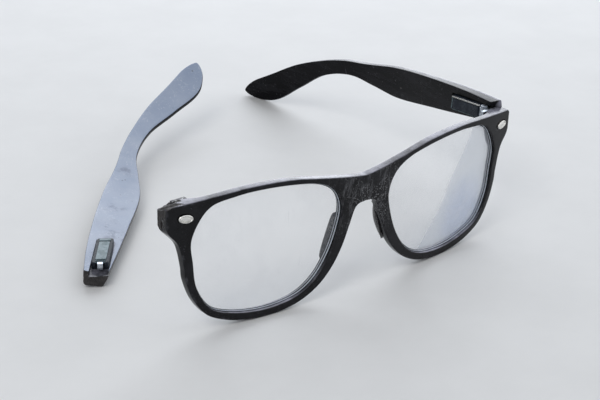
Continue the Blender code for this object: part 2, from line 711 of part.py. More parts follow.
def add_slide(side, place, whole):
    """The flat bar that the spring pulls in, with its knuckle where it is whole."""
    half = SLIDE_THICKNESS / 2
    slide = arm_box("slide_" + side, (PIN_BACK + 1.6, SLIDE_END), half, (CASE_CENTRE - half,
                    CASE_CENTRE + half), place, STEEL)
    cut(slide, arm_box("tongue", (PIN_BACK + 0.9, HOUSING_START - 0.4), KNUCKLE_MIDDLE / 2 - 0.2,
                       (CASE_CENTRE - 0.7, PIN_IN), place, slope=0.0), "UNION")
    cut(slide, arm_box("stop", (SLIDE_END - STOP_LENGTH, SLIDE_END), STOP_HALF,
                       (CASE_CENTRE - 0.55, CASE_CENTRE + 0.55), place), "UNION")
    if whole:
        low = PIN.z - KNUCKLE_MIDDLE / 2
        high = PIN.z + KNUCKLE_MIDDLE / 2
        cut(slide, new_object("knuckle", *tube((PIN.x, PIN.y), from_front, low, high, KNUCKLE_R),
                              None), "UNION")
        cut(slide, new_object("bore", *tube((PIN.x, PIN.y), from_front, low - 1, high + 1,
                                            KNUCKLE_BORE_R), None))


def add_spring(side, place):
    """The coil round the bar, drawn slack behind the bar's stop."""
    start = HOUSING_START + 1.2
    length = SLIDE_END - STOP_LENGTH - SLIDE_TRAVEL - FIT - start
    sides, per_turn = 6, 12
    total = SPRING_TURNS * per_turn
    down = tan(radians(HOUSING_SLOPE))
    along = Vector((1.0, -down, 0.0)).normalized()
    points = []
    rings = []
    for k in range(total + 1):
        a = 2 * pi * k / per_turn
        s = start + length * k / total
        hub = Vector((s, CASE_MID - down * (s - HOUSING_START), CASE_CENTRE))
        radial = Vector((0.0, cos(a), sin(a)))
        first = len(points)
        for j in range(sides):
            b = 2 * pi * j / sides
            points.append(hub + radial * (SPRING_R + SPRING_WIRE_R * cos(b)) + along * SPRING_WIRE_R * sin(b))
        rings.append(list(range(first, first + sides)))
    new_object("spring_" + side, points, closed_rings(rings), STEEL, place)


def lowest(pieces):
    return min(v.co.z for piece in pieces for v in piece.data.vertices)


def stand_and_centre(lying, moving):
    """Stand both groups on z = 0, centre the whole, and put the moving pieces' origins on the pin."""
    pieces = list(bpy.data.objects)
    fallen = [piece for piece in pieces if piece.name in lying]
    standing = [piece for piece in pieces if piece.name not in lying]
    lift = -lowest(standing)
    for group, rise in ((standing, lift), (fallen, -lowest(fallen))):
        for piece in group:
            piece.data.transform(Matrix.Translation((0, 0, rise)))
    corners = [v.co for piece in pieces for v in piece.data.vertices]
    shift = Vector((-(min(c.x for c in corners) + max(c.x for c in corners)) / 2,
                    -(min(c.y for c in corners) + max(c.y for c in corners)) / 2, 0))
    hinge = from_front(PIN.x, PIN.y, PIN.z) * MM + Vector((0, 0, lift)) + shift
    for piece in pieces:
        piece.data.transform(Matrix.Translation(shift))
        if piece.name in moving:
            piece.data.transform(Matrix.Translation(-hinge))
            piece.location = hinge


clear_scene()

BLACK = material("black gloss plastic", (0.012, 0.012, 0.014), 0.22)
DUSTY = material("dusty black plastic", (0.26, 0.31, 0.42), 0.45)
CLEAR = material("clear lens", (0.92, 0.94, 0.95), 0.04, alpha=0.15)
SILVER = material("bright metal plaque", (0.78, 0.77, 0.74), 0.25, 1.0)
STEEL = material("hinge metal", (0.46, 0.47, 0.50), 0.35, 1.0)
CASE = material("spring case", (0.16, 0.19, 0.21), 0.3, 0.6)

front_frame = new_object("front_frame", *front_mesh(), BLACK)
add_nose_pad(front_frame, 1)
add_nose_pad(front_frame, -1)
add_plaque(front_frame, 1, "plaque_left")
add_plaque(front_frame, -1, "plaque_right")
square_endpiece(front_frame)
add_front_leaf(front_frame, "hinge_leaf_left", 1, ((HINGE_LOW, HINGE_LOW + KNUCKLE_END),
                                                   (HINGE_HIGH - KNUCKLE_END, HINGE_HIGH)))
add_front_leaf(front_frame, "hinge_leaf_right", -1, ((HINGE_LOW, HINGE_LOW + KNUCKLE_END),))
tear_endpiece(front_frame)
add_screw()
for name, place, surface, whole in (("left", attached, BLACK, True), ("right", loose, DUSTY, False)):
    add_arm(name, place, surface)
    add_spring_case(name, place)
    add_slide(name, place, whole)
    add_spring(name, place)
new_object("lens_left", *lens_mesh(1), CLEAR)
new_object("lens_right", *lens_mesh(-1), CLEAR)
stand_and_centre(lying=("temple_right", "spring_case_right", "slide_right", "spring_right"),
                 moving=("temple_left", "spring_case_left", "slide_left", "spring_left"))
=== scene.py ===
"""Looks for a pair of broken eyeglasses: one arm on its hinge, the other lying snapped off.

Shapes are worked out in millimetres in the front's own directions (u across, y back, w up)
or in an arm's own directions (s along, t up across, n in towards the wearer), and then
placed in the row frame in metres.
"""
from math import atan2, cos, pi, radians, sin, sqrt, tan

import bmesh
import bpy
from mathutils import Matrix, Vector, noise
from mathutils.geometry import tessellate_polygon


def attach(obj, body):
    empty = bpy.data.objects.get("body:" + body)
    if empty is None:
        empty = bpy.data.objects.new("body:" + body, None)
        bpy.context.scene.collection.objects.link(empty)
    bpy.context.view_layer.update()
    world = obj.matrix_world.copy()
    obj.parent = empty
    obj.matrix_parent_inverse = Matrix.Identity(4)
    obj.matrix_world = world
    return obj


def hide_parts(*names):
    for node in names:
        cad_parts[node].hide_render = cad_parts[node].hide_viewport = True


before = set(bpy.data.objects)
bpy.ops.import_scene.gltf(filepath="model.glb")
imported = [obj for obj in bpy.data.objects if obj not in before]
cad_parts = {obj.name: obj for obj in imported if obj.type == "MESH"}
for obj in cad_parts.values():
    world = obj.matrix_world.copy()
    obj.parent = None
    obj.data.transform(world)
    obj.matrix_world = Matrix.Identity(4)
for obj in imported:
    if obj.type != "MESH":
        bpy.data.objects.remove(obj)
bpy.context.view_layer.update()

MM = 0.001

# How the front stands in the row frame
SHIFT_X, SHIFT_Y, LIFT = -3.1796, -78.7515, 0.1185
FRONT_LEAN = radians(1.25)
FRONT_RADIUS = 354.0
RIM_DEPTH, ENDPIECE_DEPTH = 3.2, 5.4
EDGE_ROUND, BACK_ROUND, INNER_ROUND = 0.4, 0.8, 0.35

# Lens openings and rims
LENS_WIDTH, LENS_HEIGHT, LENS_GAP = 54.5, 41.0, 20.2
RIM_BOTTOM, RIM_TEMPLE, RIM_NASAL, RIM_BRIDGE, BROW = 2.6, 2.9, 3.7, 4.5, 1.7
GROOVE_DEPTH, GROOVE_WIDTH = 0.55, 1.1
LENS_THICKNESS, LENS_BULGE, FIT = 1.4, 1.3, 0.3
LENS_U = LENS_GAP / 2 + LENS_WIDTH / 2
LENS_W = RIM_BOTTOM + LENS_HEIGHT / 2
LENS_TOP = RIM_BOTTOM + LENS_HEIGHT
HALF = LENS_GAP / 2 + LENS_WIDTH + 8.3
MID_DEPTH = RIM_DEPTH / 2
BRIDGE_TOP, BRIDGE_UNDERSIDE = LENS_TOP - 4.1, LENS_TOP - 13.0
ENDPIECE_TOP, ENDPIECE_HEIGHT = LENS_TOP + 0.1, 9.0
ENDPIECE_BACK_U = HALF - 5.9
ENDPIECE_BACK = ENDPIECE_BACK_U ** 2 / (2 * FRONT_RADIUS) + ENDPIECE_DEPTH

# Nose pads
PAD_HEIGHT, PAD_REACH, PAD_ROOT, PAD_THICKNESS = 15.0, 3.6, 1.2, 2.2
PAD_FLARE, PAD_SPREAD, PAD_BELOW_BRIDGE = 3.2, 5.2, 3.4

# Plaques
PLAQUE_LENGTH, PLAQUE_WIDTH, PLAQUE_THICKNESS, PLAQUE_SINK = 4.7, 2.7, 1.0, 0.45
PLAQUE_FROM_END, PLAQUE_BELOW_TOP, PLAQUE_SLANT, PLAQUE_SHIFT = 5.4, 4.2, radians(8.0), 0.55

# Arms
ARM_LENGTH, ARM_BUTT, ARM_BELLY, ARM_NECK, ARM_PADDLE, ARM_DROP = 143.0, 7.8, 12.8, 6.3, 12.0, 43.0
ARM_THICK_BUTT, ARM_THICK, ARM_THICK_TIP, TIP_ROUND = 5.0, 3.3, 2.5, 7.0
ARM_LOWER_EDGE, ARM_EDGE, ARM_CANT = 1.3, 1.6, radians(11.9)
BOW, BOW_START, BOW_RUN = 20.2, 45.0, 100.0
ARM_OUTER, ARM_HEIGHT = HALF - 1.9, ENDPIECE_TOP - 1.4
ARM_START = ENDPIECE_BACK + 0.5
ARM_SPLAY, SPLAY_U, SPLAY_BACK, ARM_RISE = radians(6.6), ARM_OUTER - 5.0, 3.0, radians(2.5)
LOOSE_BUTT, LOOSE_HEADING, LOOSE_PITCH = (-71.8, 48.0), radians(32.06), radians(3.42)
LOOSE_LIFT = 3.05

# Hinge and spring case
PIN_U, PIN_W = 66.9793, 40.8865
HINGE_HALF = 2.8
LEAF_WIDTH, LEAF_THICKNESS, KNUCKLE_R = 5.2, 0.9, 1.45
CASE_START, CASE_LENGTH, CASE_WIDTH = 4.6, 16.0, 5.6
CASE_MID, CASE_SLOPE, CASE_SINK, CASE_PROUD = -1.5, radians(8.0), 0.9, 1.5
CASE_WALL, SLIDE_TRAVEL, STOP_LENGTH = 0.5, 2.0, 0.8
CASE_ROOM = (CASE_WIDTH / 2 - CASE_WALL) * 0.62
SPRING_R, SPRING_WIRE, SPRING_TURNS, WIRE_SIDES, TURN_STEPS = 0.62, 0.13, 6, 10, 28
SPRING_FROM_FRONT, SPRING_ABOVE_FACE = 1.2, 0.3
BEAD_R, BEAD_SIDES = 0.2, 10

# The torn corner, and how finely its rough faces are made
TEAR_RUN, TEAR_DROP, TEAR_END, TEAR_WAVE, TEAR_GRAIN = 9.5, 2.9, 0.8, 0.21, 0.22
TEAR_GRID, SIDE_GRID, BUTT_GRID = (56, 40), (40, 44), (30, 30)

# Angles in degrees above which an edge is drawn sharp
FRONT_SHARP, PIECE_SHARP, ROUGH_SHARP = 38, 40, 60

# Places on the pieces, in the row frame in metres
BRIDGE_PLACE = (SHIFT_X * MM, -0.0775, 0.034)
# Where a lens has a smear with a painted sky reflection in it
LENS_SMEAR_AND_REFLECTION = (0.047, -0.074, 0.012)

# Darker smudges on the snapped arm's face: along it, across it, and how far each reaches in metres
SMUDGES = ((24.0, -6.2, 0.0080), (33.0, -5.0, 0.0075), (44.0, -7.6, 0.0065), (29.0, -9.4, 0.0055),
           (72.0, -12.4, 0.0040))


# Places

def front_point(u, y, w):
    """From the front's directions to the row frame, in metres."""
    return Vector((u + SHIFT_X, y * cos(FRONT_LEAN) + w * sin(FRONT_LEAN) + SHIFT_Y,
                   w * cos(FRONT_LEAN) - y * sin(FRONT_LEAN) + LIFT)) * MM


def bend(u):
    """How far the bowed front lies behind its middle."""
    return u * u / (2 * FRONT_RADIUS)


def on_front(u, back, w):
    """The same, with the distance behind the bowed face instead of y."""
    return front_point(u, bend(u) + back, w)


def attached(s, t, n):
    """A point of the arm that is still on its hinge."""
    u = ARM_OUTER - n
    y = ARM_START + s * cos(ARM_RISE) - t * sin(ARM_RISE)
    w = ARM_HEIGHT + t * cos(ARM_RISE) + s * sin(ARM_RISE)
    du, dy = u - SPLAY_U, y - ARM_START - SPLAY_BACK
    return front_point(SPLAY_U + du * cos(ARM_SPLAY) + dy * sin(ARM_SPLAY),
                       ARM_START + SPLAY_BACK - du * sin(ARM_SPLAY) + dy * cos(ARM_SPLAY), w)


def loose(s, t, n):
    """A point of the snapped arm on the ground, its inner face up."""
    h = LOOSE_HEADING
    return Vector((LOOSE_BUTT[0] + s * sin(h) - t * cos(h) + SHIFT_X,
                   LOOSE_BUTT[1] + s * cos(h) + t * sin(h) + SHIFT_Y,
                   n + s * sin(LOOSE_PITCH) + LOOSE_LIFT)) * MM


def along_case(place, s, t, n):
    """A point beside a spring case, which slopes down along its arm."""
    return place(s, CASE_MID + t - tan(CASE_SLOPE) * (s - CASE_START), n)


# Mesh helpers

def through(points, count, closed=False):
    """Points evenly spaced along a smooth curve that passes through the given ones."""
    pts = [Vector(p) for p in points]
    n = len(pts)
    fine = []
    for i in range(n if closed else n - 1):
        b, c = pts[i], pts[(i + 1) % n]
        a = pts[(i - 1) % n] if closed or i > 0 else b * 2 - c
        d = pts[(i + 2) % n] if closed or i + 2 < n else c * 2 - b
        for k in range(24):
            t = k / 24
            fine.append(0.5 * (2 * b + (c - a) * t + (2 * a - 5 * b + 4 * c - d) * t * t
                               + (3 * b - a - 3 * c + d) * t ** 3))
    fine.append(pts[0] if closed else pts[-1])
    run = [0.0]
    for p, q in zip(fine, fine[1:]):
        run.append(run[-1] + (q - p).length)
    out, j = [], 0
    for k in range(count):
        goal = run[-1] * k / (count if closed else count - 1)
        while j < len(fine) - 2 and run[j + 1] < goal:
            j += 1
        share = (goal - run[j]) / max(run[j + 1] - run[j], 1e-9)
        out.append(fine[j].lerp(fine[j + 1], min(share, 1.0)))
    return out


def value_at(x, table):
    """Smooth value at x from a short table of (x, value)."""
    if x <= table[0][0]:
        return table[0][1]
    for (x0, v0), (x1, v1) in zip(table, table[1:]):
        if x <= x1:
            t = (x - x0) / (x1 - x0)
            return v0 + (v1 - v0) * t * t * (3 - 2 * t)
    return table[-1][1]


def value_curve(x, table):
    """Smooth curve through a short table of (x, value), with matching slopes."""
    n = len(table)
    for i in range(n - 1):
        (x0, v0), (x1, v1) = table[i], table[i + 1]
        if x <= x1 or i == n - 2:
            before, after = table[max(i - 1, 0)], table[min(i + 2, n - 1)]
            h = x1 - x0
            t = (x - x0) / h
            m0 = (v1 - before[1]) / (x1 - before[0]) * h
            m1 = (after[1] - v0) / (after[0] - x0) * h
            return ((2 * t ** 3 - 3 * t ** 2 + 1) * v0 + (t ** 3 - 2 * t ** 2 + t) * m0
                    + (3 * t ** 2 - 2 * t ** 3) * v1 + (t ** 3 - t ** 2) * m1)
    return table[-1][1]


def outward(loop):
    """Unit directions pointing out of a closed loop that runs anticlockwise."""
    n = len(loop)
    dirs = []
    for i in range(n):
        along = loop[(i + 1) % n] - loop[(i - 1) % n]
        dirs.append(Vector((along.y, -along.x)).normalized())
    return dirs


def ring_faces(rings, ends=True):
    """Quads between closed rings of equal length, with both ends closed if asked."""
    faces = []
    for a, b in zip(rings, rings[1:]):
        n = len(a)
        faces += [(a[i], a[(i + 1) % n], b[(i + 1) % n], b[i]) for i in range(n)]
    return faces + ([tuple(rings[0]), tuple(rings[-1])] if ends else [])


def lofted(rows):
    """The points of equally long closed rows, and the faces between them and over both ends."""
    count = len(rows[0])
    rings = [list(range(k * count, (k + 1) * count)) for k in range(len(rows))]
    return [point for row in rows for point in row], ring_faces(rings)


def faces_out(mesh, merge=None, flat=None):
    """Merge near points and join flat faces where asked, then turn every face out."""
    work = bmesh.new()
    work.from_mesh(mesh)
    if merge is not None:
        bmesh.ops.remove_doubles(work, verts=work.verts, dist=merge)
    if flat is not None:
        bmesh.ops.dissolve_limit(work, angle_limit=flat, verts=work.verts, edges=work.edges)
    bmesh.ops.recalc_face_normals(work, faces=work.faces)
    work.to_mesh(mesh)
    work.free()


def linked(name, data):
    """A new object in the scene."""
    made = bpy.data.objects.new(name, data)
    bpy.context.scene.collection.objects.link(made)
    return made


def smooth_up_to(mesh, angle):
    """Smooth shading, with edges above an angle in degrees kept sharp."""
    mesh.shade_smooth()
    mesh.set_sharp_from_angle(angle=radians(angle))


def make(name, points, faces, surface, sharp=PIECE_SHARP, edge=None):
    """A mesh object at the origin with its faces turned out."""
    mesh = bpy.data.meshes.new(name)
    mesh.from_pydata(points, [], faces)
    faces_out(mesh)
    if edge is not None:
        mesh.attributes.new("edge", "FLOAT", "POINT").data.foreach_set("value", edge)
    mesh.materials.append(surface)
    smooth_up_to(mesh, sharp)
    return linked(name, mesh)


def settle(target, sharp):
    """Turn an object's modifiers into its own plain mesh."""
    bpy.context.view_layer.update()
    shape = target.evaluated_get(bpy.context.evaluated_depsgraph_get())
    mesh = bpy.data.meshes.new_from_object(shape)
    target.modifiers.clear()
    target.data = mesh
    smooth_up_to(mesh, sharp)


def cut(target, tool, sharp=PIECE_SHARP, kind="DIFFERENCE"):
    """Cut or join one object with another; the new faces keep the tool's material."""
    change = target.modifiers.new("cut", "BOOLEAN")
    change.operation, change.solver, change.object = kind, "EXACT", tool
    change.material_mode = "TRANSFER"
    settle(target, sharp)
    bpy.data.objects.remove(tool)


BOX_FACES = ((0, 1, 2, 3), (4, 5, 6, 7), (0, 1, 5, 4), (1, 2, 6, 5), (2, 3, 7, 6), (3, 0, 4, 7))


def front_block(name, corners, heights, surface):
    """A block of the front: four (u, y) corners between two heights."""
    return make(name, [front_point(u, y, w) for w in heights for u, y in corners], BOX_FACES, surface)


def rough_block(name, grid, pair, surface):
    """A block with one uneven side. pair gives its uneven and its far point at two shares."""
    across, deep = grid
    pairs = [pair(i / (across - 1), j / (deep - 1)) for i in range(across) for j in range(deep)]
    count = across * deep
    faces = []
    for i in range(across - 1):
        for j in range(deep - 1):
            a = i * deep + j
            faces += [(a, a + 1, a + deep + 1, a + deep),
                      (a + count, a + deep + count, a + deep + 1 + count, a + 1 + count)]
    rim = ([i * deep for i in range(across)] + [(across - 1) * deep + j for j in range(1, deep)]
           + [i * deep + deep - 1 for i in range(across - 2, -1, -1)] + list(range(deep - 2, 0, -1)))
    faces += [(a, b, b + count, a + count) for a, b in zip(rim, rim[1:] + rim[:1])]
    return make(name, [p for p, _ in pairs] + [p for _, p in pairs], faces, surface, ROUGH_SHARP)


def finish_piece(piece, body, slot, *nodes):
    """Say what a piece rides on and which solids it stands for; slot, its finish, is not used."""
    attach(piece, body)
    if nodes:
        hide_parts(*nodes)


def softened(node, name, surface, width, body, slot):
    """The solid's own shape with its corners rounded off, standing for the solid."""
    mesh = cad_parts[node].data.copy()
    faces_out(mesh, 1e-6, radians(0.5))
    mesh.materials.clear()
    mesh.materials.append(surface)
    made = linked(name, mesh)
    bevel = made.modifiers.new("bevel", "BEVEL")
    bevel.width, bevel.segments, bevel.limit_method = width * MM, 3, "ANGLE"
    bevel.angle_limit, bevel.use_clamp_overlap = radians(32), True
    settle(made, 50)
    finish_piece(made, body, slot, node)


# Shared surface effects

def feed(tree, value, socket):
    """Link a socket to another, or set it to a plain value."""
    if isinstance(value, bpy.types.NodeSocket):
        tree.links.new(value, socket)
    else:
        socket.default_value = value


def rgba(colour):
    """A plain colour with its alpha. A socket stays as it is."""
    return colour if isinstance(colour, bpy.types.NodeSocket) else (*colour, 1.0)


def group(name, inputs, outputs, kind="ShaderNodeTree"):
    """An empty node group with named inputs and outputs."""
    tree = bpy.data.node_groups.new(name, kind)
    for label, socket_kind, value in inputs:
        socket = tree.interface.new_socket(label, in_out="INPUT", socket_type="NodeSocket" + socket_kind)
        if value is not None:
            socket.default_value = value
    for label, socket_kind in outputs:
        tree.interface.new_socket(label, in_out="OUTPUT", socket_type="NodeSocket" + socket_kind)
    return tree, tree.nodes.new("NodeGroupInput"), tree.nodes.new("NodeGroupOutput")


def put(tree, kind, settings=None, **inputs):
    """A node with its settings, and values or links for its inputs by name, or as i0, i1 by place."""
    node = tree.nodes.new(kind)
    for key, value in (settings or {}).items():
        setattr(node, key, value)
    for key, value in inputs.items():
        by_place = key[0] == "i" and key[1:].isdigit()
        feed(tree, value, node.inputs[int(key[1:]) if by_place else key.replace("_", " ")])
    return node


def maths(tree, operation, a, b, clamp=False):
    """One sum of two values."""
    return put(tree, "ShaderNodeMath", {"operation": operation, "use_clamp": clamp}, i0=a, i1=b).outputs[0]


def band(tree, value, low, high, out_low=0.0, out_high=1.0):
    """Smooth step of a value between two limits."""
    return put(tree, "ShaderNodeMapRange", {"interpolation_type": "SMOOTHSTEP"}, Value=value,
               From_Min=low, From_Max=high, To_Min=out_low, To_Max=out_high).outputs["Result"]


def mix_colour(tree, share, a, b):
    """From colour a to colour b by a share."""
    return put(tree, "ShaderNodeMix", {"data_type": "RGBA"}, i0=share, i6=rgba(a), i7=rgba(b)).outputs[2]


def noise_of(tree, vector, scale, detail, rough):
    """Noise at a place."""
    return put(tree, "ShaderNodeTexNoise", None, Vector=vector, Scale=scale, Detail=detail,
               Roughness=rough).outputs[0]


def scratch_group():
    """Fine hair scratches in three directions. Place is the surface point in metres."""
    tree, i, o = group("fine scratches", (("Place", "Vector", None), ("Scale", "Float", 60.0),
                                          ("Share", "Float", 0.1)), (("Mask", "Float"),))
    found = None
    for turn, shift in (((0.3, 0.55, 0.4), 0.0), ((-0.4, -0.75, 1.2), 0.31), ((0.2, 1.45, -0.5), 0.77)):
        place = put(tree, "ShaderNodeMapping", {"vector_type": "TEXTURE"}, Vector=i.outputs["Place"],
                    Location=(shift, shift, shift), Rotation=turn, Scale=(1.0, 0.055, 0.055))
        lines = noise_of(tree, place.outputs[0], i.outputs["Scale"], 2.0, 0.4)
        patch = noise_of(tree, i.outputs["Place"], 150.0, 3.0, 0.6)
        edge = maths(tree, "SUBTRACT", 0.72, maths(tree, "MULTIPLY", i.outputs["Share"], 0.2))
        line = band(tree, lines, edge, maths(tree, "ADD", edge, 0.035))
        line = maths(tree, "MULTIPLY", line, band(tree, patch, 0.4, 0.6))
        found = line if found is None else maths(tree, "MAXIMUM", found, line)
    tree.links.new(found, o.inputs["Mask"])
    return tree


def dust_group():
    """A thin film of dust that also carries a painted sky sheen, thicker where the surface faces up, with
    loose specks in it.
    """
    tree, i, o = group("dust film", (("Place", "Vector", None), ("Amount", "Float", 0.3),
                                     ("Specks", "Float", 0.3)), (("Film and sheen", "Float"), ("Specks", "Float")))
    normal = tree.nodes.new("ShaderNodeNewGeometry").outputs["Normal"]
    up = put(tree, "ShaderNodeSeparateXYZ", None, Vector=normal).outputs["Z"]
    faces_up = band(tree, up, 0.45, 0.95, 0.03, 1.0)
    cloud = band(tree, noise_of(tree, i.outputs["Place"], 70.0, 6.0, 0.65), 0.3, 0.75)
    film = maths(tree, "MULTIPLY", maths(tree, "MULTIPLY", cloud, faces_up), i.outputs["Amount"], True)
    tree.links.new(film, o.inputs["Film and sheen"])
    dots = put(tree, "ShaderNodeTexVoronoi", None, Vector=i.outputs["Place"], Scale=900.0)
    pick = noise_of(tree, i.outputs["Place"], 330.0, 1.0, 0.5)
    size = band(tree, pick, 0.62, 0.8, 0.0, 0.34)
    speck = maths(tree, "LESS_THAN", dots.outputs["Distance"], size)
    tree.links.new(maths(tree, "MULTIPLY", speck, i.outputs["Specks"], True), o.inputs["Specks"])
    return tree


def grain_group():
    """The faint unevenness of a moulded or filed skin, as a height."""
    tree, i, o = group("skin grain", (("Place", "Vector", None), ("Fine", "Float", 900.0),
                                      ("Wave", "Float", 60.0)), (("Height", "Float"),))
    fine = noise_of(tree, i.outputs["Place"], i.outputs["Fine"], 2.0, 0.5)
    wave = noise_of(tree, i.outputs["Place"], i.outputs["Wave"], 1.0, 0.4)
    tree.links.new(maths(tree, "ADD", maths(tree, "MULTIPLY", fine, 0.25), wave), o.inputs["Height"])
    return tree


SCRATCHES, DUST_AND_SHEEN, GRAIN = scratch_group(), dust_group(), grain_group()


class Surface:
    """A material under construction, with its Principled shader and object coordinates."""

    def __init__(self, name, colour, rough, **fixed):
        self.made = bpy.data.materials.new(name)
        self.made.use_nodes = True
        self.tree = self.made.node_tree
        self.shader = self.tree.nodes["Principled BSDF"]
        self.place = self.tree.nodes.new("ShaderNodeTexCoord").outputs["Object"]
        self.colour, self.rough = colour, rough
        for key, value in fixed.items():
            self.shader.inputs[key.replace("_", " ")].default_value = value

    def use(self, tree, **inputs):
        """A shared effect at this surface's place."""
        return put(self.tree, "ShaderNodeGroup", {"node_tree": tree}, Place=self.place, **inputs)

    def times(self, a, b):
        """The product of two masks, or of a mask and a number."""
        return maths(self.tree, "MULTIPLY", a, b)

    def tint(self, mask, colour, share=None):
        """Lay a colour over the present one where the mask is high."""
        mask = mask if share is None else self.times(mask, share)
        self.colour = mix_colour(self.tree, mask, self.colour, colour)

    def roughen(self, mask, rough, share=None):
        """Move the roughness to a value where the mask is high."""
        mask = mask if share is None else self.times(mask, share)
        self.rough = put(self.tree, "ShaderNodeMix", None, i0=mask, i2=self.rough, i3=rough).outputs[0]

    def patches(self, scale, detail, rough, low, high, *out, place=None):
        """Uneven patches: 0 where a noise is under the low limit, 1 where it is over the high one."""
        place = self.place if place is None else place
        return band(self.tree, noise_of(self.tree, place, scale, detail, rough), low, high, *out)

    def drawn_out(self, scale, **settings):
        """This surface's place, scaled so that a pattern is drawn out along one direction."""
        return put(self.tree, "ShaderNodeMapping", settings, Vector=self.place, Scale=scale)

    def scratches(self, scale, share, strength, colour):
        """Hair scratches of one colour."""
        self.tint(self.use(SCRATCHES, Scale=scale, Share=share).outputs["Mask"], colour, strength)

    def edge(self):
        """1 on the piece's marked edges."""
        return put(self.tree, "ShaderNodeAttribute", {"attribute_name": "edge"}).outputs["Fac"]

    def near(self, centre, reach, stretch=(1.0, 1.0, 1.0)):
        """1 at a place in the row frame (metres), fading to 0 at its reach."""
        kind = "ShaderNodeVectorMath"
        shift = put(self.tree, kind, {"operation": "SUBTRACT"}, i0=self.place, i1=centre).outputs[0]
        scaled = put(self.tree, kind, {"operation": "MULTIPLY"}, i0=shift, i1=stretch).outputs[0]
        away = put(self.tree, kind, {"operation": "LENGTH"}, i0=scaled).outputs["Value"]
        return band(self.tree, away, 0.35 * reach, reach, 1.0, 0.0)

    def bump(self, height, strength, distance):
        """Add a relief over the ones before it."""
        node = put(self.tree, "ShaderNodeBump", None, Strength=strength, Distance=distance, Height=height)
        before = self.shader.inputs["Normal"]
        if before.is_linked:
            self.tree.links.new(before.links[0].from_socket, node.inputs["Normal"])
        self.tree.links.new(node.outputs[0], before)

    def done(self):
        """The finished material."""
        feed(self.tree, rgba(self.colour), self.shader.inputs["Base Color"])
        feed(self.tree, self.rough, self.shader.inputs["Roughness"])
        return self.made


# Materials

def black_plastic():
    """Glossy black: dust and a painted sky sheen on what faces up, dull smears and fine scratches at the
    bridge.
    """
    m = Surface("black plastic", (0.0022, 0.0022, 0.003), 0.12, IOR=1.28)
    dust = m.use(DUST_AND_SHEEN, Amount=0.95, Specks=0.35)
    # Pale lavender film on what faces up: dust with a painted sky sheen.
    m.tint(dust.outputs["Film and sheen"], (0.44, 0.44, 0.53))
    m.roughen(dust.outputs["Film and sheen"], 0.4, 0.6)
    m.scratches(90.0, 0.05, 0.3, (0.16, 0.16, 0.18))
    bridge = m.near(BRIDGE_PLACE, 0.019, (1.0, 0.6, 0.8))
    smear = m.drawn_out((0.22, 0.3, 1.0), vector_type="TEXTURE")
    smear.inputs["Rotation"].default_value = (0.0, 0.25, 0.0)
    dull = m.patches(190.0, 5.0, 0.65, 0.50, 0.68, place=smear.outputs[0])
    fine = m.patches(700.0, 4.0, 0.7, 0.5, 0.68)
    rubbed = m.times(bridge, maths(m.tree, "MAXIMUM", dull, m.times(fine, 0.45)))
    m.tint(rubbed, (0.085, 0.085, 0.092), 0.7)
    m.roughen(rubbed, 0.5, 0.8)
    deep = m.times(bridge, m.use(SCRATCHES, Scale=150.0, Share=0.45).outputs["Mask"])
    m.tint(deep, (0.30, 0.30, 0.31), 0.6)
    m.tint(dust.outputs["Specks"], (0.26, 0.25, 0.24), 0.7)
    m.tint(m.times(m.edge(), m.patches(240.0, 5.0, 0.7, 0.50, 0.72)), (0.13, 0.13, 0.15), 0.35)
    m.bump(m.use(GRAIN, Fine=1500.0, Wave=45.0).outputs["Height"], 0.04, 0.0003)
    m.bump(deep, 0.25, 0.00003)
    return m.done()


def pad_plastic():
    """The same plastic on the nose pads, rubbed dull and greyish brown."""
    m = Surface("rubbed pad plastic", (0.020, 0.021, 0.024), 0.36)
    wear = m.patches(260.0, 6.0, 0.7, 0.38, 0.68)
    m.tint(wear, (0.11, 0.108, 0.104), 0.7)
    m.scratches(150.0, 0.7, 0.6, (0.30, 0.29, 0.28))
    m.roughen(wear, 0.62)
    m.bump(wear, 0.2, 0.00008)
    return m.done()


def torn_plastic():
    """Broken plastic: dull, brownish dark and granular."""
    m = Surface("torn plastic", (0.018, 0.016, 0.016), 0.55)
    crumb = m.patches(700.0, 6.0, 0.75, 0.42, 0.66)
    m.tint(crumb, (0.042, 0.037, 0.037), 0.8)
    m.roughen(crumb, 0.72)
    m.tint(m.patches(1500.0, 3.0, 0.7, 0.64, 0.74), (0.22, 0.21, 0.21), 0.4)
    m.bump(crumb, 0.7, 0.00018)
    return m.done()


def arm_plastic():
    """The standing arm's satin black, with faint streaks along it, dust with a painted sky sheen on what
    faces up, and a painted highlight along its top edge.
    """
    m = Surface("satin arm plastic", (0.003, 0.003, 0.004), 0.22, IOR=1.17)
    lines = m.patches(420.0, 4.0, 0.6, 0.42, 0.68, place=m.drawn_out((1.0, 0.09, 1.0)).outputs[0])
    m.tint(lines, (0.018, 0.018, 0.021), 0.5)
    m.roughen(lines, 0.40)
    dust = m.use(DUST_AND_SHEEN, Amount=0.18, Specks=0.4)
    # Bluish film: dust with a painted sky sheen.
    m.tint(dust.outputs["Film and sheen"], (0.16, 0.17, 0.23))
    # Painted highlight: a pale lavender line along the top edge.
    m.tint(m.edge(), (0.42, 0.42, 0.50), 0.85)
    m.roughen(dust.outputs["Film and sheen"], 0.45, 0.6)
    m.tint(dust.outputs["Specks"], (0.26, 0.25, 0.24), 0.7)
    m.scratches(90.0, 0.15, 0.35, (0.16, 0.16, 0.18))
    m.bump(lines, 0.06, 0.00008)
    return m.done()


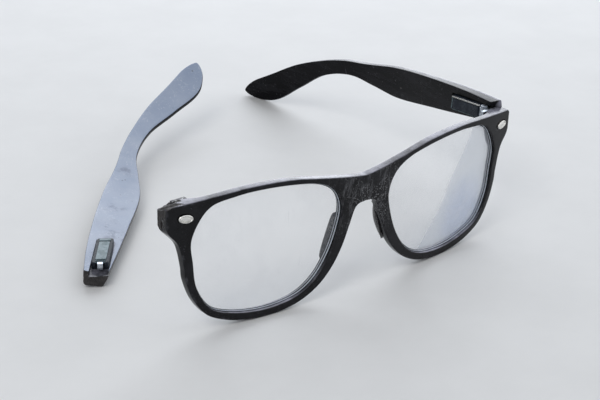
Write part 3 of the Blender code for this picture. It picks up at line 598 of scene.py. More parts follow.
def haze_and_sheen_plastic():
    """The snapped arm's face: a pale blue-grey colour over the black, partly a real bloom and partly a
    painted sky sheen, with darker smudges.
    """
    m = Surface("hazed arm plastic with painted sheen", (0.225, 0.285, 0.405), 0.36, Specular_IOR_Level=0.4)
    cloud = noise_of(m.tree, m.place, 38.0, 5.0, 0.6)
    m.tint(band(m.tree, cloud, 0.45, 0.7), (0.33, 0.38, 0.50), 0.5)
    m.tint(band(m.tree, cloud, 0.25, 0.42, 1.0, 0.0), (0.20, 0.255, 0.37), 0.45)
    smudge = m.patches(210.0, 6.0, 0.72, 0.50, 0.64)
    zones = None
    for s, t, reach in SMUDGES:
        here = m.near(tuple(loose(s, t, inner_face(s, t))), reach, (1.0, 1.0, 0.2))
        zones = here if zones is None else maths(m.tree, "MAXIMUM", zones, here)
    m.tint(m.times(zones, smudge), (0.105, 0.135, 0.215), 0.85)
    m.tint(zones, (0.13, 0.16, 0.25), 0.16)
    # Pale bluish film: dust with a painted sky sheen.
    dust = m.use(DUST_AND_SHEEN, Amount=0.3, Specks=0.9)
    m.tint(dust.outputs["Film and sheen"], (0.40, 0.44, 0.52))
    m.tint(dust.outputs["Specks"], (0.055, 0.06, 0.08), 0.8)
    m.scratches(80.0, 0.35, 0.35, (0.50, 0.54, 0.62))
    m.roughen(smudge, 0.46)
    m.bump(m.use(GRAIN, Fine=1300.0, Wave=60.0).outputs["Height"], 0.06, 0.0003)
    return m.done()


def lens_glass():
    """Clear lens: nearly see-through, with a bright skin at a slant, a slight haze, and a bluish smear with
    a painted sky reflection in it.
    """
    m = Surface("lens", (0.74, 0.78, 0.84), 0.03, Specular_IOR_Level=0.8)
    haze = m.patches(45.0, 5.0, 0.6, 0.35, 0.75, 0.03, 0.10)
    smear = m.near(LENS_SMEAR_AND_REFLECTION, 0.016, (1.0, 0.4, 0.9))
    clouded = m.times(smear, m.patches(190.0, 6.0, 0.7, 0.40, 0.70))
    hair = m.use(SCRATCHES, Scale=90.0, Share=0.2)
    fresnel = put(m.tree, "ShaderNodeLayerWeight", None, Blend=0.16).outputs["Fresnel"]
    clear = maths(m.tree, "ADD", haze, m.times(fresnel, 0.55))
    clear = maths(m.tree, "ADD", clear, m.times(clouded, 0.16))
    clear = maths(m.tree, "ADD", clear, m.times(hair.outputs["Mask"], 0.05), True)
    m.tree.links.new(clear, m.shader.inputs["Alpha"])
    # Bluish tint: a smear with a painted sky reflection.
    m.tint(smear, (0.45, 0.54, 0.74), 0.7)
    m.roughen(clouded, 0.25)
    return m.done()


def lens_edge():
    """The lens's ground edge: whitish because it is matt, and made bright to stand for a painted glint."""
    m = Surface("ground lens edge and painted glint", (0.62, 0.66, 0.71), 0.30, Specular_IOR_Level=0.9)
    ground = m.patches(1500.0, 3.0, 0.6, 0.35, 0.7)
    m.tint(ground, (0.80, 0.83, 0.88), 0.5)
    m.tint(m.patches(60.0, 3.0, 0.6, 0.45, 0.7), (0.30, 0.33, 0.38), 0.45)
    m.bump(ground, 0.3, 0.00003)
    return m.done()


def metal(name, colour, dark, rough, streak):
    """A worn metal: tarnish in patches, fine drawn lines and hair scratches."""
    m = Surface(name, colour, rough, Metallic=1.0)
    patch = m.patches(600.0, 5.0, 0.65, 0.45, 0.7)
    m.tint(patch, dark, 0.6)
    m.roughen(patch, min(rough + 0.2, 0.8))
    m.scratches(160.0, 0.5, 0.5, (0.86, 0.86, 0.84))
    lines = noise_of(m.tree, m.drawn_out((1.0, 0.06, 1.0)).outputs[0], 2600.0, 3.0, 0.6)
    m.bump(lines, streak, 0.00002)
    return m.done()


def case_shell_metal():
    """The case's shell: dark and half dull; its near-black colour is painted shade and dark reflection."""
    m = Surface("dark case", (0.010, 0.014, 0.022), 0.42, IOR=1.25)
    patch = m.patches(500.0, 5.0, 0.65, 0.45, 0.7)
    m.tint(patch, (0.045, 0.055, 0.068), 0.6)
    m.scratches(160.0, 0.4, 0.4, (0.20, 0.22, 0.24))
    m.roughen(patch, 0.55)
    m.bump(patch, 0.15, 0.00004)
    return m.done()


def case_plate_metal():
    """The case's inner plate: dull, greenish grey."""
    m = Surface("tarnished plate", (0.17, 0.235, 0.26), 0.45, Specular_IOR_Level=0.4)
    patch = m.patches(260.0, 6.0, 0.7, 0.45, 0.62)
    m.tint(patch, (0.34, 0.42, 0.46), 0.8)
    m.tint(m.patches(330.0, 5.0, 0.7, 0.50, 0.64), (0.065, 0.115, 0.125), 0.7)
    m.tint(m.patches(900.0, 4.0, 0.7, 0.58, 0.7), (0.06, 0.07, 0.075), 0.7)
    m.roughen(patch, 0.6)
    m.bump(patch, 0.2, 0.00006)
    return m.done()


# Outlines

def lens_loop(count):
    """The opening's outline, anticlockwise from its outer side, in its own frame."""
    shares = ((0.985, 0.04), (1.0, 0.46), (0.80, 0.88), (0.46, 0.985), (0.10, 1.0),
              (-0.32, 0.955), (-0.68, 0.86), (-0.90, 0.68), (-1.0, 0.38), (-0.955, 0.02),
              (-0.835, -0.38), (-0.64, -0.73), (-0.37, -0.935), (0.04, -1.0),
              (0.45, -0.93), (0.76, -0.76), (0.935, -0.38))
    return through([Vector((a * LENS_WIDTH / 2, b * LENS_HEIGHT / 2)) for a, b in shares], count, True)


def front_outline():
    """The outer outline of the front, anticlockwise seen from the front."""
    lens = lens_loop(120)
    rim = []
    for p, d in zip(lens, outward(lens)):
        angle = atan2(p.y, p.x) % (2 * pi)
        if angle > radians(172):
            width = value_at(angle, ((radians(175), RIM_BRIDGE), (radians(205), RIM_NASAL),
                                     (radians(235), RIM_BOTTOM), (radians(300), RIM_BOTTOM),
                                     (radians(325), RIM_BOTTOM - 0.3), (radians(360), RIM_TEMPLE)))
            rim.append((angle, Vector((LENS_U, LENS_W)) + p + d * width))
    lower = [p for a, p in sorted(rim, key=lambda item: item[0]) if a > radians(176)]
    join = lower[-1]
    end_low = ENDPIECE_TOP - ENDPIECE_HEIGHT
    top = LENS_TOP + BROW
    rise = end_low - join.y
    half = through([(0.0, BRIDGE_UNDERSIDE), (lower[0].x * 0.62, BRIDGE_UNDERSIDE - 1.1), lower[0]], 13)[:-1]
    half += through(lower[::5] + [join], 130)[:-1]
    half += through([join, (join.x + 1.0, join.y + rise * 0.42), (join.x + 2.3, join.y + rise * 0.74),
                     (HALF - 1.0, end_low + 0.1), (HALF - 0.1, end_low + 2.0)], 30)[:-1]
    half += [Vector((HALF - 0.1, end_low + 2.0)).lerp(Vector((HALF, ENDPIECE_TOP - 0.8)), k / 8)
             for k in range(9)]
    half += through([(HALF - 0.8, ENDPIECE_TOP + 0.05), (LENS_U + LENS_WIDTH * 0.36, top - 0.65),
                     (LENS_U + LENS_WIDTH * 0.12, top), (LENS_U - LENS_WIDTH * 0.14, top - 0.75),
                     (LENS_GAP / 2 + LENS_WIDTH * 0.14, top - 2.9), (LENS_GAP / 2 - 3.0, BRIDGE_TOP + 0.95),
                     (0.0, BRIDGE_TOP)], 96)
    return half + [Vector((-p.x, p.y)) for p in reversed(half[1:-1])]


def depth_at(u, w):
    """Front to back size; only the endpieces are deeper than the rims."""
    end_low = ENDPIECE_TOP - ENDPIECE_HEIGHT
    share = (value_at(abs(u), ((HALF - 13.0, 0.0), (HALF - 5.0, 1.0)))
             * value_at(w, ((end_low - 4.5, 0.0), (end_low + 0.5, 1.0))))
    return RIM_DEPTH + (ENDPIECE_DEPTH - RIM_DEPTH) * share


# Front

def quarter(radius, steps):
    """(inset, depth) pairs round a quarter of a circle, from a flat face into a side."""
    turn = [pi / 2 * k / steps for k in range(steps + 1)]
    return [(radius * (1 - sin(a)), radius * (1 - cos(a))) for a in turn]


def front_shell(surface):
    """The moulded front: flat faces cut into narrow strips so that they bow smoothly, with
    rounded edges outside and a lens groove inside."""
    outline = front_outline()
    loops = [(outline, outward(outline), BACK_ROUND)]
    for side in (1, -1):
        loop = [Vector((side * (LENS_U + p.x), LENS_W + p.y)) for p in lens_loop(200)]
        if side < 0:
            loop.reverse()
        loops.append((loop, [-d for d in outward(loop)], INNER_ROUND))
    flat = [[Vector((*(p - d * inset), 0.0)) for p, d in zip(loop, dirs)]
            for loop, dirs, inset in loops]
    work = bmesh.new()
    verts = [work.verts.new(p) for loop in flat for p in loop]
    for tri in tessellate_polygon(flat):
        work.faces.new([verts[i] for i in tri])
    planes = [((k * 1.5 + 0.37, 0, 0), (1, 0, 0)) for k in range(-48, 49)]
    planes += [((0, k * 2.0 + 0.13, 0), (0, 1, 0)) for k in range(1, 24)]
    for point, across in planes:
        bmesh.ops.bisect_plane(work, geom=work.verts[:] + work.edges[:] + work.faces[:], dist=0.06,
                               plane_co=point, plane_no=across)
    bmesh.ops.remove_doubles(work, verts=work.verts, dist=0.004)
    work.verts.index_update()
    place = [v.co.copy() for v in work.verts]
    skin = [tuple(v.index for v in f.verts) for f in work.faces]
    following = {}
    for edge in work.edges:
        if len(edge.link_faces) == 1:
            step = edge.link_loops[0]
            following[step.vert.index] = step.link_loop_next.vert.index
    work.free()

    def on_outline(p):
        """The outline's own point and outward direction beside a point of an inset loop."""
        best = None
        for (loop, dirs, _), inner in zip(loops, flat):
            for i in range(len(loop)):
                a, b = inner[i], inner[(i + 1) % len(loop)]
                along = b - a
                t = min(max((p - a).dot(along) / along.length_squared, 0.0), 1.0)
                away = (a + along * t - p).length_squared
                if best is None or away < best[0]:
                    j = (i + 1) % len(loop)
                    best = (away, loop[i].lerp(loop[j], t), dirs[i].lerp(dirs[j], t))
        return best[1], best[2]

    count = len(place)
    points = [on_front(p.x, 0.0, p.y) for p in place]
    points += [on_front(p.x, depth_at(p.x, p.y), p.y) for p in place]
    edge_wear_and_highlight = [0.0] * len(points)
    faces = skin + [tuple(i + count for i in reversed(f)) for f in skin]
    half_groove = GROOVE_WIDTH / 2
    outer = ([(i, 0, d) for i, d in quarter(EDGE_ROUND, 5)]
             + [(i, 1, -d) for i, d in quarter(BACK_ROUND, 6)[:0:-1]])
    inner = ([(i, 0, d) for i, d in quarter(INNER_ROUND, 4)[1:]]
             + [(0.0, 0, MID_DEPTH - half_groove), (-GROOVE_DEPTH, 0, MID_DEPTH - 0.08),
                (-GROOVE_DEPTH, 0, MID_DEPTH + 0.08), (0.0, 0, MID_DEPTH + half_groove)]
             + [(i, 1, -d) for i, d in quarter(INNER_ROUND, 4)[:0:-1]])
    seen = set()
    for start in sorted(following):
        if start in seen:
            continue
        loop = [start]
        while following[loop[-1]] != start:
            loop.append(following[loop[-1]])
        seen.update(loop)
        sides = [on_outline(place[i]) for i in loop]
        rows = [loop]
        outside = max(abs(p.x) for p, _ in sides) > HALF - 2.0
        for inset, share, extra in (outer if outside else inner):
            rows.append(list(range(len(points), len(points) + len(loop))))
            for p, d in sides:
                q = p - d * inset
                points.append(on_front(q.x, depth_at(q.x, q.y) * share + extra, q.y))
                edge_wear_and_highlight.append(1.0 if share == 0 and extra < 0.3 else 0.0)
        rows.append([i + count for i in loop])
        faces += ring_faces(rows, ends=False)
    return make("front_shell", points, faces, surface, FRONT_SHARP, edge_wear_and_highlight)


def add_pad(front, side, surface):
    """A nose pad joined to the front: it swells in the middle and spreads downwards."""
    steps, around = 28, 40
    rows = []
    for k in range(steps + 1):
        share = k / steps
        swell = sqrt(max(1 - (2 * share - 1) ** 2, 0.0025))
        w = BRIDGE_UNDERSIDE - PAD_BELOW_BRIDGE - PAD_HEIGHT * share
        near = LENS_GAP / 2 - RIM_NASAL - 0.2 + PAD_SPREAD * share * share
        row = []
        for j in range(around):
            a = 2 * pi * j / around
            flare = PAD_FLARE * (0.5 + 0.5 * sin(a))
            back = RIM_DEPTH - PAD_ROOT + (PAD_REACH + PAD_ROOT) * 0.5 * (1 + sin(a) * swell)
            row.append(on_front(side * (near + flare + PAD_THICKNESS * 0.5 * swell * cos(a)), back, w))
        rows.append(row)
    cut(front, make("pad", *lofted(rows), surface, ROUGH_SHARP), FRONT_SHARP, "UNION")


def plaque_shape(side, levels, count=72):
    """An eye shape built up from levels of (growth, distance behind the face)."""
    slant = PLAQUE_SLANT * side
    u, w = side * (HALF - PLAQUE_FROM_END) + PLAQUE_SHIFT, ENDPIECE_TOP - PLAQUE_BELOW_TOP
    rows = []
    for grow, back in levels:
        row = []
        for j in range(count):
            a = 2 * pi * j / count
            x = (PLAQUE_LENGTH / 2 + grow) * abs(cos(a)) ** 0.9 * (1 if cos(a) > 0 else -1)
            z = (PLAQUE_WIDTH / 2 + grow) * abs(sin(a)) ** 1.1 * (1 if sin(a) > 0 else -1)
            row.append(on_front(u + x * cos(slant) - z * sin(slant), back,
                                w + x * sin(slant) + z * cos(slant)))
        rows.append(row)
    return lofted(rows)


def add_plaque(front, side, name, body, node, black, bright):
    """An eye-shaped plaque with a raised border and a slightly domed middle."""
    seat = ((FIT, PLAQUE_SINK + FIT), (FIT, 0.02), (FIT + 0.12, -0.1), (FIT + 0.12, -1.0))
    cut(front, make("seat", *plaque_shape(side, seat), black), FRONT_SHARP)
    top = PLAQUE_THICKNESS - PLAQUE_SINK
    rise = ((0.0, -top + 0.22), (-0.03, -top + 0.12), (-0.10, -top + 0.04), (-0.18, -top), (-0.34, -top),
            (-0.40, -top + 0.10), (-0.44, -top + 0.26), (-0.58, -top + 0.28), (-0.66, -top + 0.12),
            (-0.74, -top + 0.05), (-0.95, -top + 0.02), (-1.2, -top))
    plaque = make(name, *plaque_shape(side, ((0.0, PLAQUE_SINK), *rise)), bright, 30)
    finish_piece(plaque, body, "bright_metal", node)


def square_endpiece(front, black):
    """The back of the wearer's left endpiece is cut flat, square to the arm that opens against it."""
    inner, outer = ENDPIECE_BACK_U - 11.8, HALF + 2.0
    y0, y1 = [ENDPIECE_BACK - (u - ENDPIECE_BACK_U) * tan(ARM_SPLAY) for u in (inner, outer)]
    corners = ((inner, y0), (outer, y1), (outer, y1 + 10.8), (inner, y0 + 10.8))
    heights = (ENDPIECE_TOP - 18.0, ENDPIECE_TOP + 9.0)
    cut(front, front_block("flat", corners, heights, black), FRONT_SHARP)


def leaf_seat(front, side, black):
    """The seat of a hinge leaf in an endpiece's back."""
    face = bend(PIN_U) + ENDPIECE_DEPTH
    u0, u1 = PIN_U - LEAF_WIDTH + KNUCKLE_R - FIT, PIN_U + KNUCKLE_R + FIT
    y0, y1 = face - LEAF_THICKNESS * 0.9 - FIT, face + LEAF_THICKNESS * 0.5 + 3.0
    corners = [(side * u, y) for u, y in ((u0, y0), (u1, y0), (u1, y1), (u0, y1))]
    heights = (PIN_W - HINGE_HALF - FIT, PIN_W + HINGE_HALF + FIT)
    cut(front, front_block("leaf seat", corners, heights, black), FRONT_SHARP)


def tear_corner(front, torn):
    """The torn corner: a rough slope off the top, a rough side, and a slit in it."""
    def slope(share, back):
        end = 1 - share
        wave = TEAR_WAVE * sin(11.5 * share + 16.4 * back) * min(1.0, 2 * end)
        grain = noise.fractal(Vector((share * 9.0, back * 7.0, 3.1)), 0.7, 2.2, 4) * min(1.0, 3 * end)
        w = ENDPIECE_TOP + 0.9 - end * (TEAR_END + TEAR_DROP * back) + wave + TEAR_GRAIN * grain
        u, y = -HALF - 1.0 + share * TEAR_RUN, bend(HALF) - 2.0 + back * (ENDPIECE_DEPTH + 3.0)
        return front_point(u, y, w), front_point(u, y, ENDPIECE_TOP + 8.0)

    def side(a, b):
        y = bend(HALF) + 0.75 + a * (ENDPIECE_DEPTH + 1.0)
        w = ENDPIECE_TOP - ENDPIECE_HEIGHT + 0.4 + b * (ENDPIECE_HEIGHT + 1.0)
        bite = 0.16 + 0.42 * noise.fractal(Vector((a * 4.0, b * 6.0, 8.3)), 0.8, 2.1, 5)
        return (front_point(-HALF + max(0.02, bite) * min(1.0, a * 6), y, w),
                front_point(-HALF - 2.0, y, w))

    cut(front, rough_block("tear", TEAR_GRID, slope, torn), FRONT_SHARP)
    cut(front, rough_block("side", SIDE_GRID, side, torn), FRONT_SHARP)
    y0, low = bend(HALF) + ENDPIECE_DEPTH * 0.45, ENDPIECE_TOP - ENDPIECE_HEIGHT + 1.2
    corners = ((-HALF - 1.0, y0), (-HALF + 0.9, y0 + 0.2), (-HALF + 0.9, y0 + 0.7), (-HALF - 1.0, y0 + 0.9))
    cut(front, front_block("slit", corners, (low, low + 2.8), torn), FRONT_SHARP)


# Lenses

def lens_points(side, count=200):
    """The lens's outline in its own frame, and the directions out of it."""
    loop = [Vector((side * p.x, p.y)) for p in lens_loop(count)]
    grow = outward(loop if side > 0 else loop[::-1])
    return loop, grow if side > 0 else grow[::-1]


def add_lens(side, name, body, node, glass, edge):
    """A bulged lens, clear in the middle, with a ground edge that sits in the groove."""
    loop, grow = lens_points(side)
    n = len(loop)
    half = LENS_THICKNESS / 2
    points, rings = [], []

    def ring(share, offset, back):
        rings.append(list(range(len(points), len(points) + n)))
        for p, d in zip(loop, grow):
            q = p * share + d * offset
            points.append(on_front(side * LENS_U + q.x, MID_DEPTH + back, LENS_W + q.y))

    shares = [k / 20 for k in range(1, 21)]
    for share in shares:
        ring(share, -FIT * share, -half - LENS_BULGE * (1 - share * share))
    glass_rings = len(rings)
    ring(1.0, -FIT + 0.12, -half + 0.18)
    ring(1.0, GROOVE_DEPTH - FIT - 0.03, -0.08)
    ring(1.0, GROOVE_DEPTH - FIT - 0.03, 0.08)
    ring(1.0, -FIT + 0.12, half - 0.18)
    edge_rings = len(rings)
    for share in reversed(shares):
        ring(share, -FIT * share, half - LENS_BULGE * (1 - share * share))
    faces = ring_faces(rings, ends=False)
    for row, shift in ((rings[0], -half), (rings[-1], half)):
        points.append(on_front(side * LENS_U, MID_DEPTH + shift - LENS_BULGE, LENS_W))
        faces += [(row[i], row[(i + 1) % n], len(points) - 1) for i in range(n)]
    made = make(name, points, faces, glass, 30)
    made.data.materials.append(edge)
    for band_index in range(glass_rings - 1, edge_rings):
        for i in range(n):
            made.data.polygons[band_index * n + i].material_index = 1
    finish_piece(made, body, "clear_lens", node)


# Arms

def arm_edges(s):
    """Upper and lower edge of an arm at the distance s from its butt."""
    g = s / ARM_LENGTH
    middle = -ARM_DROP * value_curve(g, ((0.0, 0.0), (0.10, 0.053), (0.25, 0.144), (0.40, 0.242),
                                         (0.50, 0.288), (0.60, 0.330), (0.70, 0.447),
                                         (0.80, 0.642), (0.90, 0.865), (1.0, 1.0)))
    width = value_curve(g, ((0.0, ARM_BUTT), (0.10, 0.8 * ARM_BELLY), (0.25, 0.96 * ARM_BELLY),
                            (0.40, ARM_BELLY), (0.50, 0.7 * ARM_BELLY), (0.575, ARM_NECK),
                            (0.70, 1.05 * ARM_NECK), (0.80, 0.87 * ARM_PADDLE),
                            (0.90, ARM_PADDLE), (1.0, 0.5 * ARM_PADDLE)))
    return middle + width / 2, middle - width / 2


def inner_face(s, t):
    """Height of an arm's inner face above its outer datum."""
    bow = BOW * (max(s - BOW_START, 0.0) / BOW_RUN) ** 2
    return ARM_EDGE + (t + ARM_BUTT / 2) * tan(ARM_CANT) + bow



def arm_section(s):
    """The arm's cross-section at s: (t, depth, mark) round its corners, with 1 on its top edge, where the
    standing arm gets a painted highlight and the snapped arm edge wear.
    """
    high, low = arm_edges(s)
    if s > ARM_LENGTH - TIP_ROUND:
        close = sqrt(max(1 - ((s - ARM_LENGTH + TIP_ROUND) / TIP_ROUND) ** 2, 0.004))
        mid = (high + low) / 2
        high, low = mid + (high - mid) * close, mid + (low - mid) * close
    thick = value_curve(s / ARM_LENGTH, ((0.0, ARM_THICK_BUTT), (0.3, ARM_THICK),
                                         (0.7, ARM_THICK), (1.0, ARM_THICK_TIP)))
    r = min(0.45, (high - low) * 0.2)
    slope = min(1.8, (high - low) * 0.3)
    corners = ((high, 0.0, r), (low, 0.0, r), (low, -ARM_LOWER_EDGE, 0.3),
               (low + slope, -thick, 0.6), (high, -thick, 0.7))
    reach_of = [radius for _, _, radius in corners]
    section = []
    for k, (t, d, radius) in enumerate(corners):
        here = Vector((t, d))
        before, after = Vector(corners[k - 1][:2]), Vector(corners[(k + 1) % len(corners)][:2])
        to_before, to_after = before - here, after - here
        reach = min(radius, to_before.length * 0.45, to_after.length * 0.45)
        a, b = here + to_before.normalized() * reach, here + to_after.normalized() * reach
        for step in range(6):
            g = step / 5
            p = a * (1 - g) ** 2 + here * 2 * g * (1 - g) + b * g * g
            section.append((p.x, p.y, 1.0 if k == 4 else 0.0))
        next_reach = min(reach_of[(k + 1) % len(corners)], to_after.length * 0.45)
        far = after - to_after.normalized() * next_reach
        for step in range(1, 5):
            p = b.lerp(far, step / 5)
            section.append((p.x, p.y, 0.0))
    return section


def add_arm(name, node, place, body, slot, face, dark, torn=None):
    """A lofted arm with rounded edges and the trough for its spring case. The face material is
    on the inner face, the dark one on everything else, and a torn one on a snapped butt."""
    stations = 170
    rows, edge_wear_and_highlight, is_face = [], [], []
    for k in range(stations + 1):
        s = ARM_LENGTH * (1 - (1 - k / stations) ** 1.25)
        section = arm_section(s)
        rows.append([place(s, t, inner_face(s, t) + depth) for t, depth, _ in section])
        edge_wear_and_highlight += [mark for _, _, mark in section]
        is_face += [depth > -0.12 for _, depth, _ in section]
    made = make(name, *lofted(rows), face, edge=edge_wear_and_highlight)
    made.data.materials.append(dark)
    for polygon in made.data.polygons:
        if not all(is_face[i] for i in polygon.vertices):
            polygon.material_index = 1
    floor = inner_face(CASE_START, CASE_MID) - CASE_SINK - FIT
    half, corner = CASE_WIDTH / 2 + FIT, 0.9
    s0, s1 = -3.0, CASE_START + CASE_LENGTH + FIT + 1.2
    outline = [(s0, -half), (s1 - corner, -half)]
    outline += [(s1 - corner + corner * sin(a), -half + corner * (1 - cos(a)))
                for a in (pi / 2 * k / 6 for k in range(1, 7))]
    outline += [(s, -t) for s, t in reversed(outline)]
    trough = [[along_case(place, s, t, n) for s, t in outline] for n in (floor, floor + 12.0)]
    cut(made, make("trough", *lofted(trough), dark))
    if torn is not None:
        roughen_butt(made, place, torn)
    finish_piece(made, body, slot, node)


def roughen_butt(arm, place, torn):
    """The snapped arm's butt is chipped and dull, not a clean cut."""
    def chip(a, b):
        t, n = -6.5 + 13.0 * a, -4.0 + 12.0 * b
        bite = 0.30 + 0.55 * noise.fractal(Vector((t * 0.45, n * 0.6, 5.7)), 0.8, 2.1, 4)
        return place(max(bite, 0.05), t, n), place(-2.0, t, n)

    cut(arm, rough_block("butt", BUTT_GRID, chip, torn))


# Spring cases

def case_box(place, s_range, t_half, n_range, corner, name, surface, top_edge=0.18, t_mid=0.0):
    """A flat block along the arm with rounded corners and an eased upper edge."""
    s0, s1 = s_range
    n0, n1 = n_range
    middle = (s0 + s1) / 2
    base = []
    for end, side, quadrant in ((s1, 1, 0), (s0, 1, 1), (s0, -1, 2), (s1, -1, 3)):
        for k in range(9):
            a = pi / 2 * (quadrant + k / 8)
            base.append((end + (-corner if end == s1 else corner) + corner * cos(a),
                         side * (t_half - corner) + corner * sin(a)))
    levels = ((0.0, n0), (0.0, n1 - top_edge), (top_edge * 0.3, n1 - top_edge * 0.3),
              (top_edge, n1), (top_edge + 0.04, n1))
    rows = []
    for inset, n in levels:
        eased = [(s - inset * (1 if s > middle else -1), t - inset * (1 if t > 0 else -1)) for s, t in base]
        rows.append([along_case(place, s, t_mid + t, n) for s, t in eased])
    return make(name, *lofted(rows), surface)


def add_case(side, place, body, case, plate, bright):
    """The spring's case: a dark shell with a window, and on it a dull plate between bars."""
    face = inner_face(CASE_START, CASE_MID)
    low, high = face - CASE_SINK, face + CASE_PROUD
    end = CASE_START + CASE_LENGTH
    shell = case_box(place, (CASE_START, end), CASE_WIDTH / 2, (low, high - 0.25), 0.7,
                     "spring_case_shell_" + side, case, 0.35)
    cut(shell, case_box(place, (CASE_START - 2.0, end - CASE_WALL), CASE_ROOM,
                        (low + CASE_WALL, high - CASE_WALL), 0.1, "hollow", case, 0.05))
    cut(shell, case_box(place, (CASE_START + 2.6, end - 3.2), 0.8, (high - 1.0, high + 1.0), 0.3,
                        "window", case, 0.05))
    finish_piece(shell, body, "case_metal", "spring_case_" + side)
    if side == "right":
        strips = (("plate", CASE_START + 2.0, end - 2.7, 1.72, 0.0, 0.0, plate),
                  ("far_bar", end - 2.05, end - 0.75, 1.86, 0.0, -0.02, plate),
                  ("cross_bar", CASE_START + 1.15, CASE_START + 1.55, 1.72, 0.0, -0.05, plate),
                  ("near_bar", CASE_START + 0.2, CASE_START + 0.55, 1.72, 0.0, -0.05, plate))
    else:
        # On the standing arm the plate takes the near-black case colour as painted shade, and the bright
        # upper bar is a painted glint along the case's upper edge.
        strips = (("plate", CASE_START + 0.9, end - 1.5, 1.9, -0.15, 0.0, case),
                  ("upper_bar", CASE_START + 0.3, end - 0.5, 0.24, 2.3, 0.0, bright),
                  ("lower_bar", CASE_START + 0.5, end - 0.8, 0.12, -2.4, -0.1, plate),
                  ("far_bar", end - 0.75, end - 0.4, 1.9, -0.1, -0.08, plate))
    for label, s0, s1, half, shift, top, surface in strips:
        corner = min(0.25, half * 0.8, (s1 - s0) * 0.4)
        strip = case_box(place, (s0, s1), half, (high - 0.4, high + top), corner,
                         "case_%s_%s" % (label, side), surface, min(0.1, half * 0.5), shift)
        finish_piece(strip, body, "case_metal")


# Lens edges and springs, by nodes

def sweep_and_dress(tree, i, o, curve, radius, sides, caps):
    """End a tree with a round section swept along a curve, made real and given its material."""
    section = put(tree, "GeometryNodeCurvePrimitiveCircle", None, Radius=radius, Resolution=sides)
    sweep = put(tree, "GeometryNodeCurveToMesh", None, Curve=curve, Profile_Curve=section.outputs[0],
                Fill_Caps=caps)
    real = put(tree, "GeometryNodeRealizeInstances", None, Geometry=sweep.outputs[0])
    dress = put(tree, "GeometryNodeSetMaterial", None, Geometry=real.outputs[0],
                Material=i.outputs["Material"])
    tree.links.new(dress.outputs[0], o.inputs["Geometry"])


def bead_tree():
    """Geometry nodes: a round bead that follows a closed path of edges."""
    inputs = (("Path", "Geometry", None), ("Radius", "Float", None), ("Sides", "Int", None),
              ("Material", "Material", None))
    tree, i, o = group("bead along an edge", inputs, (("Geometry", "Geometry"),), "GeometryNodeTree")
    path = put(tree, "GeometryNodeMeshToCurve", None, Mesh=i.outputs["Path"])
    sweep_and_dress(tree, i, o, path.outputs[0], i.outputs["Radius"], i.outputs["Sides"], False)
    return tree


def spring_tree():
    """Geometry nodes: a round wire wound to a coil, then given its material."""
    inputs = (("Turns", "Float", None), ("Coil radius", "Float", None), ("Length", "Float", None),
              ("Wire radius", "Float", None), ("Material", "Material", None))
    tree, i, o = group("wound spring", inputs, (("Geometry", "Geometry"),), "GeometryNodeTree")
    coil = put(tree, "GeometryNodeCurveSpiral", None, Resolution=TURN_STEPS, Rotations=i.outputs["Turns"],
               Start_Radius=i.outputs["Coil radius"], End_Radius=i.outputs["Coil radius"],
               Height=i.outputs["Length"])
    sweep_and_dress(tree, i, o, coil.outputs["Curve"], i.outputs["Wire radius"], WIRE_SIDES, True)
    return tree


def grown(name, mesh, tree, **values):
    """A closed plain mesh that a node tree makes from its named values."""
    holder = linked(name, mesh)
    change = holder.modifiers.new("nodes", "NODES")
    change.node_group = tree
    ids = {item.name: item.identifier for item in tree.interface.items_tree if item.in_out == "INPUT"}
    for label, value in values.items():
        change[ids[label.replace("_", " ")]] = value
    settle(holder, ROUGH_SHARP)
    faces_out(holder.data, 1e-7)
    return holder


def add_lens_edge(tree, side, name, body, ground):
    """The lens's ground edge where it shows beside the rim, as a fine bright line that is partly a painted
    glint.
    """
    loop, grow = lens_points(side, 260)
    path = [p - d * 0.16 for p, d in zip(loop, grow)]
    points = [on_front(side * LENS_U + p.x, MID_DEPTH - 0.25, LENS_W + p.y) for p in path]
    mesh = bpy.data.meshes.new(name)
    mesh.from_pydata(points, [(k, (k + 1) % len(points)) for k in range(len(points))], [])
    finish_piece(grown(name, mesh, tree, Radius=BEAD_R * MM, Sides=BEAD_SIDES, Material=ground),
                 body, "clear_lens")


def add_spring(tree, side, place, body, surface):
    """A slack spring behind the slide's stop, along the case."""
    centre = inner_face(CASE_START, CASE_MID) + SPRING_ABOVE_FACE
    start = CASE_START + SPRING_FROM_FRONT
    end = CASE_START + CASE_LENGTH - CASE_WALL - STOP_LENGTH - 2 * SLIDE_TRAVEL - 2 * FIT
    origin, tip = along_case(place, start, 0.0, centre), along_case(place, end, 0.0, centre)
    spring = grown("spring_coil_" + side, bpy.data.meshes.new("coil"), tree, Turns=float(SPRING_TURNS),
                   Coil_radius=SPRING_R * MM, Length=(tip - origin).length,
                   Wire_radius=SPRING_WIRE * MM, Material=surface)
    along = (tip - origin).normalized()
    across = (along_case(place, start, 1.0, centre) - origin).normalized()
    third = along.cross(across).normalized()
    across = third.cross(along).normalized()
    turn = Matrix((across, third, along)).transposed().to_4x4()
    spring.data.transform(Matrix.Translation(origin) @ turn)
    finish_piece(spring, body, "hinge_metal", "spring_" + side)


# Stage

